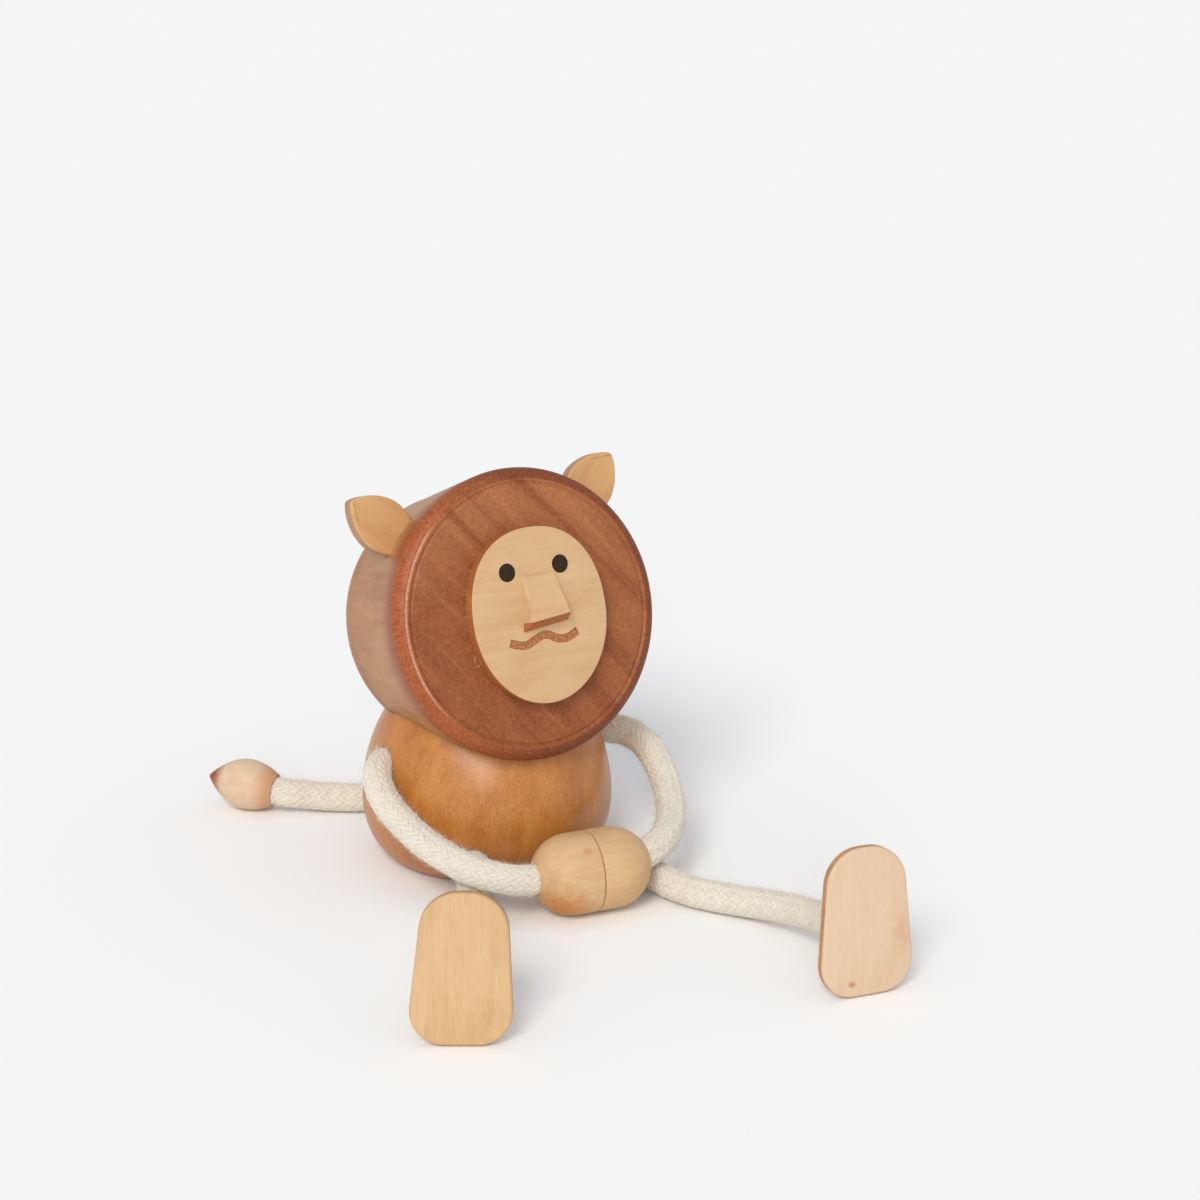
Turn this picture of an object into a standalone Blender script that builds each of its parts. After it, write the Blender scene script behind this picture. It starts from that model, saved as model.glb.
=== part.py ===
"""A seated toy lion of turned wood with rope limbs.

Units are metres and +Z is up. The figure faces -Y, and the origin is on the floor, at the middle of
the torso's flat seat. Left and right are the viewer's, looking at the face.
"""

import math

import bmesh
import bpy
from mathutils import Matrix, Vector

# Clearances
SEAT_GAP = 0.0003  # between faces that are glued or rest on each other
BORE_GAP = 0.0003  # around a rope, dowel, plug, tenon or magnet
TURN_GAP = 0.0004  # between the torso's crown and the socket of the head that turns on it

# Torso: an egg on a flat seat, cut off flat at the top
TORSO_RADIUS = 0.02615
TORSO_BELLY_HEIGHT = 0.0123
TORSO_SEAT_RADIUS = 0.0179
TORSO_CROWN_RISE = 0.0311  # from the belly to where the crown's curve would close
TORSO_HEIGHT = 0.0340

# Neck dowel, glued into the torso and free in the head
DOWEL_RADIUS = 0.0040
DOWEL_IN_TORSO = 0.0110
DOWEL_IN_HEAD = 0.0110

# Head: a tapered drum that lies on its side, its flat front tipped up
HEAD_RIM_RADIUS = 0.0295
HEAD_RIM_ROUND = 0.0027
HEAD_BACK_RADIUS = 0.0259
HEAD_BACK_ROUND = 0.0101
HEAD_DEPTH = 0.0397
HEAD_RISE = 0.0173  # from the torso's top to the middle of the drum
HEAD_TILT = math.radians(16.8)
HEAD_TURN = math.radians(8.0)

# Face plate, eyes, nose and mouth. Places are from the plate's middle
FACE_WIDTH = 0.0301
FACE_HEIGHT = 0.0354
FACE_THICKNESS = 0.0031
FACE_SHIFT = 0.0005  # of the plate's middle to the right of the drum's axis
FACE_DROP = 0.0004  # of the plate's middle below the drum's axis
FACE_TOP_FULLNESS = 2.25  # exponents of the outline, 2 being an ellipse
FACE_CHIN_FULLNESS = 2.0
EYE_RADIUS = 0.0018
EYE_SPACING = 0.0121
EYE_HEIGHT = 0.0094
EYE_DEPTH = 0.0022
NOSE_SHIFT = 0.0008  # to the right of the plate's middle
NOSE_TOP_HEIGHT = 0.0081
NOSE_LENGTH = 0.0105
NOSE_TOP_WIDTH = 0.0078
NOSE_BASE_WIDTH = 0.0104
NOSE_RIDGE_WIDTH = 0.0090
NOSE_RISE = 0.0034
NOSE_BRIDGE_RISE = 0.0003
NOSE_UNDERSLOPE = 0.0018
NOSE_EDGE = 0.0002
MOUTH_WIDTH = 0.0155
MOUTH_HEIGHT = -0.0041
MOUTH_DIP = 0.0014
MOUTH_WAVES = 0.84  # of a whole wave, on each side of the middle
MOUTH_LINE = 0.0017
MOUTH_CUT = 0.0004

# Ears: leaves with a tenon, in slots behind the rim. Angles are from the top of the drum
EAR_LENGTH = 0.0127
EAR_WIDTH = 0.0109
EAR_ROOT_WIDTH = 0.0088
EAR_BELLY = 0.0042  # from the drum to the widest place
EAR_THICKNESS = 0.0034
EAR_EDGE = 0.0003
EAR_TIP_FULLNESS = (1.8, 0.75)  # exponents of the curve from the widest place to the tip
EAR_TENON = 0.0040
EAR_SETBACKS = {"left": 0.0102, "right": 0.0088}
EAR_ANGLES = {"left": math.radians(47.6), "right": math.radians(-45.0)}

# Rope and where it lies. Each route starts in the torso's bore and ends in the piece that it carries
ROPE_RADIUS = 0.0031
ROPE_POINT_SPACING = 0.0064
BORE_POINTS = 4  # of a rope, from its end to clear of the bore's mouth
ROUTES = {
    "arm_rope_left": [
        (-0.0170, 0.0016, 0.0212),
        (-0.0206, -0.0006, 0.0226),
        (-0.0239, -0.0034, 0.0235),
        (-0.0262, -0.0065, 0.0229),
        (-0.0271, -0.0100, 0.0211),
        (-0.0265, -0.0136, 0.0185),
        (-0.0249, -0.0175, 0.0160),
        (-0.0226, -0.0219, 0.0135),
        (-0.0198, -0.0269, 0.0117),
        (-0.0169, -0.0318, 0.0105),
        (-0.0134, -0.0356, 0.0096),
        (-0.0094, -0.0377, 0.0088),
        (-0.0053, -0.0384, 0.0084),
        (-0.0012, -0.0384, 0.0083),
    ],
    "arm_rope_right": [
        (0.0166, 0.0032, 0.0220),
        (0.0205, 0.0018, 0.0224),
        (0.0243, 0.0002, 0.0228),
        (0.0278, -0.0019, 0.0230),
        (0.0308, -0.0049, 0.0225),
        (0.0327, -0.0090, 0.0209),
        (0.0333, -0.0142, 0.0179),
        (0.0326, -0.0200, 0.0149),
        (0.0309, -0.0255, 0.0125),
        (0.0280, -0.0308, 0.0111),
        (0.0243, -0.0350, 0.0104),
        (0.0202, -0.0376, 0.0098),
        (0.0160, -0.0386, 0.0092),
    ],
    "leg_rope_left": [
        (-0.0070, -0.0136, 0.0080),
        (-0.0090, -0.0175, 0.0076),
        (-0.0109, -0.0214, 0.0070),
        (-0.0128, -0.0254, 0.0056),
        (-0.0146, -0.0296, 0.0040),
        (-0.0163, -0.0346, 0.0033),
        (-0.0176, -0.0408, 0.0033),
        (-0.0198, -0.0480, 0.0033),
        (-0.0230, -0.0550, 0.0034),
        (-0.0264, -0.0616, 0.0044),
        (-0.0294, -0.0676, 0.0060),
        (-0.0320, -0.0726, 0.0075),
        (-0.0342, -0.0770, 0.0087),
        (-0.0359, -0.0806, 0.0093),
        (-0.0368, -0.0828, 0.0097),
    ],
    "leg_rope_right": [
        (0.0050, -0.0157, 0.0082),
        (0.0080, -0.0186, 0.0076),
        (0.0109, -0.0214, 0.0070),
        (0.0145, -0.0240, 0.0059),
        (0.0182, -0.0268, 0.0047),
        (0.0212, -0.0302, 0.0038),
        (0.0229, -0.0346, 0.0034),
        (0.0239, -0.0392, 0.0033),
        (0.0258, -0.0440, 0.0033),
        (0.0292, -0.0489, 0.0033),
        (0.0334, -0.0537, 0.0034),
        (0.0370, -0.0592, 0.0041),
        (0.0396, -0.0658, 0.0053),
        (0.0410, -0.0724, 0.0065),
        (0.0414, -0.0790, 0.0077),
        (0.0409, -0.0852, 0.0087),
        (0.0401, -0.0900, 0.0093),
        (0.0397, -0.0930, 0.0097),
    ],
    "tail_rope": [
        (-0.0026, 0.0166, 0.0066),
        (-0.0052, 0.0199, 0.0060),
        (-0.0078, 0.0232, 0.0053),
        (-0.0107, 0.0259, 0.0043),
        (-0.0144, 0.0272, 0.0036),
        (-0.0184, 0.0284, 0.0033),
        (-0.0224, 0.0301, 0.0033),
        (-0.0262, 0.0321, 0.0034),
        (-0.0298, 0.0336, 0.0038),
        (-0.0330, 0.0347, 0.0042),
        (-0.0361, 0.0366, 0.0047),
        (-0.0392, 0.0390, 0.0053),
    ],
}
POINTS_TO_MOUTH = 3  # of a route, from its start to the mouth of the torso's bore

# Hands: two halves of a capsule on the floor, held face to face by magnets
HAND_RADIUS = 0.00825
HAND_LENGTH = 0.0125
HANDS_MEET = (0.0074, -0.0384)
MAGNET_RADIUS = 0.0040
MAGNET_THICKNESS = 0.0025

# Feet: sole plates that stand on their heels and lean back. Places are the middle of the front's lower edge
FOOT_HEIGHT = 0.0284
FOOT_HEEL_WIDTH = 0.0199
FOOT_TOE_WIDTH = 0.0153
FOOT_TOE_SHIFT = 0.0012  # of the toe's middle to the right
FOOT_HEEL_ROUND = 0.0064
FOOT_TOE_ROUND = 0.0073
FOOT_THICKNESS = 0.0026
FOOT_EDGE = 0.0004
FOOT_LEAN = math.radians(9.0)
FOOT_PLACES = {
    "left": ((-0.0380, -0.0854), math.radians(-23.2)),
    "right": ((0.0397, -0.0958), math.radians(-1.3)),
}

# Tail bead: an acorn shape that lies on its belly, its neck towards the rope and its tip raised
BEAD_LENGTH = 0.0151
BEAD_RADIUS = 0.0055
BEAD_NECK_RADIUS = 0.0040
BEAD_TIP_RADIUS = 0.0004
BEAD_TAPER = 1.95  # exponent of the curve from the belly to the tip
BEAD_BELLY = 0.0065  # from the neck to the widest place
BEAD_NECK_PLACE = (-0.0357, 0.0363)
BEAD_HEADING = math.radians(142.5)  # of the tip, from +X
BEAD_PITCH = math.radians(7.6)

# Fineness of the meshes
TURN_STEPS = 48
SMALL_TURN_STEPS = 28
BORE_SIDES = 24
CROWN_STEPS = 10
LOWER_STEPS = 8
RIM_STEPS = 4
BACK_STEPS = 6
DOME_STEPS = 8
EAR_ROOT_STEPS = 4
EAR_TIP_STEPS = 10
FACE_STEPS = 48
MOUTH_STEPS = 20
CORNER_STEPS = 6
BEAD_TIP_STEPS = 9
BEAD_NECK_STEPS = 5
ROUTE_STEPS = 20
EDGE_RING_STEPS = 1
ROPE_RING_STEPS = 3
MOUTH_RING_STEPS = 4
BORE_RING_STEPS = 6
WELD_DISTANCE = 0.000001
LATHE_WELD_DISTANCE = 0.00001
SHARP_ANGLE = math.radians(40.0)
BEVEL_ANGLE = math.radians(30.0)

RIGHT_ANGLE = math.pi / 2
TORSO_TOP = Vector((0.0, 0.0, TORSO_HEIGHT))


def clear_scene():
    for old in list(bpy.data.objects):
        bpy.data.objects.remove(old, do_unlink=True)


def new_collection(name):
    made = bpy.data.collections.new(name)
    bpy.context.scene.collection.children.link(made)
    return made


def new_material(name, colour, roughness, metallic=0.0):
    made = bpy.data.materials.new(name)
    made.use_nodes = True
    shader = made.node_tree.nodes["Principled BSDF"]
    shader.inputs["Base Color"].default_value = (*colour, 1.0)
    shader.inputs["Roughness"].default_value = roughness
    shader.inputs["Metallic"].default_value = metallic
    made.diffuse_color = (*colour, 1.0)
    return made


clear_scene()
PARTS = new_collection("toy_lion")
CUTTERS = new_collection("cutters")
STAINED = new_material("stained_maple", (0.33, 0.12, 0.045), 0.32)
OILED = new_material("oiled_maple", (0.50, 0.23, 0.08), 0.36)
PALE = new_material("pale_maple", (0.76, 0.52, 0.29), 0.55)
DARK = new_material("dark_plug", (0.035, 0.022, 0.016), 0.60)
COTTON = new_material("cotton_rope", (0.84, 0.80, 0.71), 0.95)
MAGNET = new_material("nickel_magnet", (0.62, 0.61, 0.58), 0.28, 1.0)


def add_pivot(name, place, turn=0.0):
    """An empty on a joint's axis, which the joint's pieces hang on."""
    pivot = bpy.data.objects.new(name, None)
    pivot.matrix_basis = Matrix.Translation(place) @ Matrix.Rotation(turn, 4, "Z")
    PARTS.objects.link(pivot)
    return pivot


def add_part(name, data, material, world=Matrix.Identity(4), pivot=None):
    part = bpy.data.objects.new(name, data)
    part.matrix_basis = world
    if pivot:
        part.parent = pivot
        part.matrix_parent_inverse = pivot.matrix_basis.inverted()
    data.materials.append(material)
    PARTS.objects.link(part)
    return part


def add_cutter(name, data, world=Matrix.Identity(4)):
    cutter = bpy.data.objects.new(name, data)
    cutter.matrix_basis = world
    cutter.hide_render = True
    cutter.display_type = "WIRE"
    CUTTERS.objects.link(cutter)
    return cutter


def cut(part, cutter):
    boolean = part.modifiers.new(cutter.name, "BOOLEAN")
    boolean.operation = "DIFFERENCE"
    boolean.solver = "EXACT"
    boolean.object = cutter


def mesh_from(name, build):
    """A mesh that build(bm) fills."""
    bm = bmesh.new()
    build(bm)
    mesh = bpy.data.meshes.new(name)
    bm.to_mesh(mesh)
    bm.free()
    return mesh


def cylinder_mesh(name, radius, low, high, sides=BORE_SIDES):
    """A cylinder along local Z from low to high."""

    def build(bm):
        bmesh.ops.create_cone(
            bm,
            cap_ends=True,
            segments=sides,
            radius1=radius,
            radius2=radius,
            depth=high - low,
            matrix=Matrix.Translation((0.0, 0.0, (low + high) / 2)),
        )

    mesh = mesh_from(name, build)
    mesh.shade_smooth()
    mesh.set_sharp_from_angle(angle=SHARP_ANGLE)
    return mesh


def block_mesh(name, low, high):
    """A block between two corners."""
    low, high = Vector(low), Vector(high)
    size = Matrix.Diagonal((*(high - low), 1.0))
    middle = Matrix.Translation((low + high) / 2)
    return mesh_from(name, lambda bm: bmesh.ops.create_cube(bm, size=1.0, matrix=middle @ size))


def profile_mesh(name, profile):
    """An open line of (radius, height) points in the XZ plane, top first."""

    def build(bm):
        corners = [bm.verts.new((radius, 0.0, height)) for radius, height in profile]
        for upper, lower in zip(corners, corners[1:]):
            bm.edges.new((upper, lower))

    return mesh_from(name, build)


def turn_on_lathe(part, steps):
    screw = part.modifiers.new("lathe", "SCREW")
    screw.axis = "Z"
    screw.steps = steps
    screw.render_steps = steps
    screw.use_merge_vertices = True
    screw.merge_threshold = LATHE_WELD_DISTANCE
    screw.use_smooth_shade = True


def arc(centre, radii, start, end, count):
    """Points on an ellipse in the profile's plane, angles in degrees from +radius towards +height."""
    points = []
    for step in range(count + 1):
        angle = math.radians(start + (end - start) * step / count)
        points.append((centre[0] + radii[0] * math.cos(angle), centre[1] + radii[1] * math.sin(angle)))
    return points


def outline_curve(name, points, thickness, edge=0.0):
    """A flat plate in the XY plane, its middle at z = 0, with its edges rounded by edge."""
    curve = bpy.data.curves.new(name, "CURVE")
    curve.dimensions = "2D"
    curve.fill_mode = "BOTH"
    curve.extrude = thickness / 2 - edge
    curve.bevel_depth = edge
    curve.bevel_resolution = EDGE_RING_STEPS
    curve.offset = -edge
    spline = curve.splines.new("POLY")
    spline.points.add(len(points) - 1)
    for point, (x, y) in zip(spline.points, points):
        point.co = (x, y, 0.0, 1.0)
    spline.use_cyclic_u = True
    return curve


def welded_mesh(name, curve):
    """The curve's evaluated shape as a closed mesh that can be cut."""
    holder = bpy.data.objects.new(name + "_curve", curve)
    PARTS.objects.link(holder)
    bpy.context.view_layer.update()
    mesh = bpy.data.meshes.new_from_object(holder.evaluated_get(bpy.context.evaluated_depsgraph_get()))
    bpy.data.objects.remove(holder, do_unlink=True)
    bm = bmesh.new()
    bm.from_mesh(mesh)
    bmesh.ops.remove_doubles(bm, verts=bm.verts, dist=WELD_DISTANCE)
    bm.to_mesh(mesh)
    bm.free()
    mesh.name = name
    return mesh


def aim(place, direction):
    """A frame at place whose local Z points along direction."""
    turn = Vector(direction).to_track_quat("Z", "Y").to_matrix().to_4x4()
    return Matrix.Translation(place) @ turn


def smooth_route(route):
    """Evenly spaced points on a smooth curve through a route's points."""
    ends = [2 * route[0] - route[1], *route, 2 * route[-1] - route[-2]]
    fine = []
    for before, start, end, after in zip(ends, ends[1:], ends[2:], ends[3:]):
        knots = [0.0]
        for a, b in ((before, start), (start, end), (end, after)):
            knots.append(knots[-1] + math.sqrt((b - a).length))
        t0, t1, t2, t3 = knots
        for step in range(ROUTE_STEPS):
            t = t1 + (t2 - t1) * step / ROUTE_STEPS
            a = before.lerp(start, (t - t0) / (t1 - t0))
            b = start.lerp(end, (t - t1) / (t2 - t1))
            c = end.lerp(after, (t - t2) / (t3 - t2))
            ab = a.lerp(b, (t - t0) / (t2 - t0))
            bc = b.lerp(c, (t - t1) / (t3 - t1))
            fine.append(ab.lerp(bc, (t - t1) / (t2 - t1)))
    fine.append(route[-1])
    lengths = [0.0]
    for a, b in zip(fine, fine[1:]):
        lengths.append(lengths[-1] + (b - a).length)
    count = round(lengths[-1] / ROPE_POINT_SPACING)
    points, at = [], 0
    for step in range(count + 1):
        wanted = lengths[-1] * step / count
        while at < len(fine) - 2 and lengths[at + 1] < wanted:
            at += 1
        share = (wanted - lengths[at]) / (lengths[at + 1] - lengths[at])
        points.append(fine[at].lerp(fine[at + 1], share))
    return points


def tube_curve(name, points, radius, ring_steps):
    """A round tube with closed ends through the points."""
    curve = bpy.data.curves.new(name, "CURVE")
    curve.dimensions = "3D"
    curve.bevel_depth = radius
    curve.bevel_resolution = ring_steps
    curve.use_fill_caps = True
    spline = curve.splines.new("POLY")
    spline.points.add(len(points) - 1)
    for point, place in zip(spline.points, points):
        point.co = (*place, 1.0)
    spline.use_smooth = True
    return curve


def rope_points(name):
    return smooth_route([Vector(point) for point in ROUTES[name]])


def make_rope(name, pivot):
    add_part(name, tube_curve(name, rope_points(name), ROPE_RADIUS, ROPE_RING_STEPS), COTTON, pivot=pivot)


def bore_for_rope(part, rope_name, at_end):
    """Cut the blind bore that holds one end of a rope, its mouth eased the way that the rope bends."""
    points = rope_points(rope_name)
    if at_end:
        points.reverse()
    points = points[:BORE_POINTS]
    points[0] += (points[0] - points[1]).normalized() * SEAT_GAP
    name = f"{part.name}_{rope_name}_bore"
    curve = tube_curve(name, points, ROPE_RADIUS + BORE_GAP, BORE_RING_STEPS)
    cut(part, add_cutter(name, welded_mesh(name, curve)))


def crown_profile(grow=0.0):
    """The torso's side from its flat top down to its belly, grown outwards by a clearance."""
    top = TORSO_HEIGHT + grow
    start = math.degrees(math.asin((top - TORSO_BELLY_HEIGHT) / (TORSO_CROWN_RISE + grow)))
    radii = (TORSO_RADIUS + grow, TORSO_CROWN_RISE + grow)
    return [(0.0, top), *arc((0.0, TORSO_BELLY_HEIGHT), radii, start, 0.0, CROWN_STEPS)]


def make_torso():
    shoulder = (TORSO_SEAT_RADIUS, TORSO_BELLY_HEIGHT)
    radii = (TORSO_RADIUS - TORSO_SEAT_RADIUS, TORSO_BELLY_HEIGHT)
    lower = arc(shoulder, radii, 0.0, -90.0, LOWER_STEPS)
    torso = add_part("torso", profile_mesh("torso", crown_profile() + lower[1:] + [(0.0, 0.0)]), OILED)
    turn_on_lathe(torso, TURN_STEPS)
    cut(torso, NECK_BORE)
    for rope_name in ROUTES:
        bore_for_rope(torso, rope_name, at_end=False)


def make_neck_dowel():
    mesh = cylinder_mesh("neck_dowel", DOWEL_RADIUS, -DOWEL_IN_TORSO, DOWEL_IN_HEAD)
    add_part("neck_dowel", mesh, PALE, Matrix.Translation(TORSO_TOP))


def head_radius(behind):
    """The drum's radius at a distance behind its front, between its two roundings."""
    straight = HEAD_DEPTH - HEAD_RIM_ROUND - HEAD_BACK_ROUND
    share = (behind - HEAD_RIM_ROUND) / straight
    return HEAD_RIM_RADIUS + (HEAD_BACK_RADIUS - HEAD_RIM_RADIUS) * share


def make_head():
    rim_middle = (HEAD_RIM_RADIUS - HEAD_RIM_ROUND, -HEAD_RIM_ROUND)
    rim = arc(rim_middle, (HEAD_RIM_ROUND, HEAD_RIM_ROUND), 90.0, 0.0, RIM_STEPS)
    back_middle = (HEAD_BACK_RADIUS - HEAD_BACK_ROUND, HEAD_BACK_ROUND - HEAD_DEPTH)
    back = arc(back_middle, (HEAD_BACK_ROUND, HEAD_BACK_ROUND), 0.0, -90.0, BACK_STEPS)
    profile = [(0.0, 0.0), *rim, *back, (0.0, -HEAD_DEPTH)]
    head = add_part("head", profile_mesh("head", profile), STAINED, HEAD_FRAME, HEAD_PIVOT)
    turn_on_lathe(head, TURN_STEPS)
    socket = add_cutter("head_socket", profile_mesh("head_socket", crown_profile(TURN_GAP) + [(0.0, 0.0)]))
    turn_on_lathe(socket, TURN_STEPS)
    cut(head, socket)
    cut(head, NECK_BORE)
    slot = block_mesh(
        "ear_slot",
        (-EAR_ROOT_WIDTH / 2 - BORE_GAP, -EAR_TENON - SEAT_GAP, -EAR_THICKNESS / 2 - BORE_GAP),
        (EAR_ROOT_WIDTH / 2 + BORE_GAP, EAR_LENGTH, EAR_THICKNESS / 2 + BORE_GAP),
    )
    for side in EAR_ANGLES:
        cut(head, add_cutter(f"ear_slot_{side}", slot, ear_frame(side)))


def ear_frame(side):
    """A frame on the drum's side whose local Y points out along the ear and Z points forward."""
    middle = EAR_SETBACKS[side] + EAR_THICKNESS / 2
    turn = Matrix.Rotation(EAR_ANGLES[side], 4, "Z")
    return HEAD_FRAME @ turn @ Matrix.Translation((0.0, head_radius(middle), -middle))


def ear_outline():
    """A straight tenon below a leaf that swells to its belly and closes to a blunt point."""
    root, half = EAR_ROOT_WIDTH / 2, EAR_WIDTH / 2
    inner, outer = EAR_TIP_FULLNESS
    right = [(root, -EAR_TENON)]
    for step in range(EAR_ROOT_STEPS):
        share = step / EAR_ROOT_STEPS
        right.append((root + (half - root) * math.sin(RIGHT_ANGLE * share), EAR_BELLY * share))
    for step in range(EAR_TIP_STEPS):
        share = math.sin(RIGHT_ANGLE * step / EAR_TIP_STEPS)
        right.append((half * (1 - share**inner) ** outer, EAR_BELLY + (EAR_LENGTH - EAR_BELLY) * share))
    left = [(-x, y) for x, y in reversed(right)]
    return [*right, (0.0, EAR_LENGTH), *left]


def make_ears():
    for side in EAR_ANGLES:
        curve = outline_curve(f"ear_{side}", ear_outline(), EAR_THICKNESS, EAR_EDGE)
        add_part(f"ear_{side}", curve, PALE, ear_frame(side), HEAD_PIVOT)


def face_outline():
    """An oval that is a little fuller at the forehead than at the chin."""
    points = []
    for step in range(FACE_STEPS):
        angle = 2 * math.pi * step / FACE_STEPS
        across, up = math.cos(angle), math.sin(angle)
        power = 2 / (FACE_TOP_FULLNESS if up > 0 else FACE_CHIN_FULLNESS)
        x = math.copysign(abs(across) ** power, across) * FACE_WIDTH / 2
        y = math.copysign(abs(up) ** power, up) * FACE_HEIGHT / 2
        points.append((x, y))
    return points


def mouth_cutter():
    """A thin tube along the mouth's wave, sunk into the plate's front by MOUTH_CUT."""
    radius = (MOUTH_LINE**2 / 4 + MOUTH_CUT**2) / (2 * MOUTH_CUT)
    points = []
    for step in range(MOUTH_STEPS + 1):
        share = 2 * step / MOUTH_STEPS - 1
        dip = MOUTH_DIP * (1 - math.cos(2 * math.pi * MOUTH_WAVES * share)) / 2
        points.append((MOUTH_WIDTH / 2 * share, MOUTH_HEIGHT - dip, radius - MOUTH_CUT))
    curve = tube_curve("mouth", points, radius, MOUTH_RING_STEPS)
    return add_cutter("mouth_cutter", welded_mesh("mouth_cutter", curve), FACE_FRONT)


def eye_frame(side):
    return FACE_FRONT @ Matrix.Translation((side * EYE_SPACING / 2, EYE_HEIGHT, 0.0))


def make_face_plate():
    middle = FACE_FRONT @ Matrix.Translation((0.0, 0.0, -FACE_THICKNESS / 2))
    mesh = welded_mesh("face_plate", outline_curve("face_plate", face_outline(), FACE_THICKNESS))
    plate = add_part("face_plate", mesh, PALE, middle, HEAD_PIVOT)
    cut(plate, mouth_cutter())
    for side in (-1, 1):
        hole = cylinder_mesh("eye_hole", EYE_RADIUS + BORE_GAP, -EYE_DEPTH - SEAT_GAP, FACE_THICKNESS)
        cut(plate, add_cutter("eye_hole", hole, eye_frame(side)))


def make_eyes():
    for name, side in (("eye_left", -1), ("eye_right", 1)):
        add_part(name, cylinder_mesh(name, EYE_RADIUS, -EYE_DEPTH, 0.0), DARK, eye_frame(side), HEAD_PIVOT)


def make_nose():
    """A wedge glued to the plate: it rises from the bridge, and its underside slopes back."""

    def build(bm):
        for corner in bmesh.ops.create_cube(bm)["verts"]:
            across, up, out = (math.copysign(1.0, value) for value in corner.co)
            if up > 0:
                width, height = NOSE_TOP_WIDTH, NOSE_TOP_HEIGHT
                rise = NOSE_BRIDGE_RISE
            else:
                width = NOSE_RIDGE_WIDTH if out > 0 else NOSE_BASE_WIDTH
                height = NOSE_TOP_HEIGHT - NOSE_LENGTH + (NOSE_UNDERSLOPE if out > 0 else 0.0)
                rise = NOSE_RISE
            corner.co = (across * width / 2, height, rise if out > 0 else 0.0)

    world = FACE_FRONT @ Matrix.Translation((NOSE_SHIFT, 0.0, SEAT_GAP))
    nose = add_part("nose", mesh_from("nose", build), PALE, world, HEAD_PIVOT)
    bevel = nose.modifiers.new("soft_edges", "BEVEL")
    bevel.width = NOSE_EDGE
    bevel.segments = 1
    bevel.limit_method = "ANGLE"
    bevel.angle_limit = BEVEL_ANGLE
    bevel.use_clamp_overlap = True


def hand_frame(side):
    """A frame at the hand's flat palm whose local Z points along the capsule, away from the other hand."""
    place = (HANDS_MEET[0] + side * SEAT_GAP / 2, HANDS_MEET[1], HAND_RADIUS)
    return aim(place, (side, 0.0, 0.0))


def make_hand(name, side, rope_name, pivot):
    dome = arc((0.0, HAND_LENGTH - HAND_RADIUS), (HAND_RADIUS, HAND_RADIUS), 90.0, 0.0, DOME_STEPS)
    profile = [*dome, (HAND_RADIUS, 0.0), (0.0, 0.0)]
    hand = add_part(name, profile_mesh(name, profile), PALE, hand_frame(side), pivot)
    turn_on_lathe(hand, SMALL_TURN_STEPS)
    floor = MAGNET_THICKNESS + 2 * SEAT_GAP
    pocket = cylinder_mesh("magnet_pocket", MAGNET_RADIUS + BORE_GAP, -HAND_RADIUS, floor)
    cut(hand, add_cutter(name + "_magnet_pocket", pocket, hand_frame(side)))
    bore_for_rope(hand, rope_name, at_end=True)
    magnet = cylinder_mesh("hand_magnet", MAGNET_RADIUS, SEAT_GAP, MAGNET_THICKNESS + SEAT_GAP)
    add_part(name.replace("hand", "hand_magnet"), magnet, MAGNET, hand_frame(side), pivot)


def rounded_outline(corners):
    """A closed outline with each (x, y, radius) corner turned into an arc."""
    points = []
    for index, (x, y, radius) in enumerate(corners):
        corner = Vector((x, y))
        before = (Vector(corners[index - 1][:2]) - corner).normalized()
        after = (Vector(corners[(index + 1) % len(corners)][:2]) - corner).normalized()
        half = before.angle(after) / 2
        centre = corner + (before + after).normalized() * radius / math.sin(half)
        start = corner + before * radius / math.tan(half) - centre
        sweep = math.pi - 2 * half
        if before.cross(after) > 0:
            sweep = -sweep
        for step in range(CORNER_STEPS + 1):
            turned = start.copy()
            turned.rotate(Matrix.Rotation(sweep * step / CORNER_STEPS, 2))
            points.append(tuple(centre + turned))
    return points


def make_foot(name, side, rope_name, pivot):
    (x, y), heading = FOOT_PLACES[side]
    heel_rise = (FOOT_THICKNESS - FOOT_EDGE) * math.sin(FOOT_LEAN)
    stand = Matrix.Translation((x, y, heel_rise)) @ Matrix.Rotation(heading, 4, "Z")
    lean = Matrix.Rotation(RIGHT_ANGLE - FOOT_LEAN, 4, "X")
    world = stand @ lean @ Matrix.Translation((0.0, 0.0, -FOOT_THICKNESS / 2))
    heel, toe = FOOT_HEEL_WIDTH / 2, FOOT_TOE_WIDTH / 2
    outline = rounded_outline(
        [
            (-heel, 0.0, FOOT_HEEL_ROUND),
            (heel, 0.0, FOOT_HEEL_ROUND),
            (FOOT_TOE_SHIFT + toe, FOOT_HEIGHT, FOOT_TOE_ROUND),
            (FOOT_TOE_SHIFT - toe, FOOT_HEIGHT, FOOT_TOE_ROUND),
        ]
    )
    curve = outline_curve(name, outline, FOOT_THICKNESS, FOOT_EDGE)
    foot = add_part(name, welded_mesh(name, curve), PALE, world, pivot)
    bore_for_rope(foot, rope_name, at_end=True)


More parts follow.
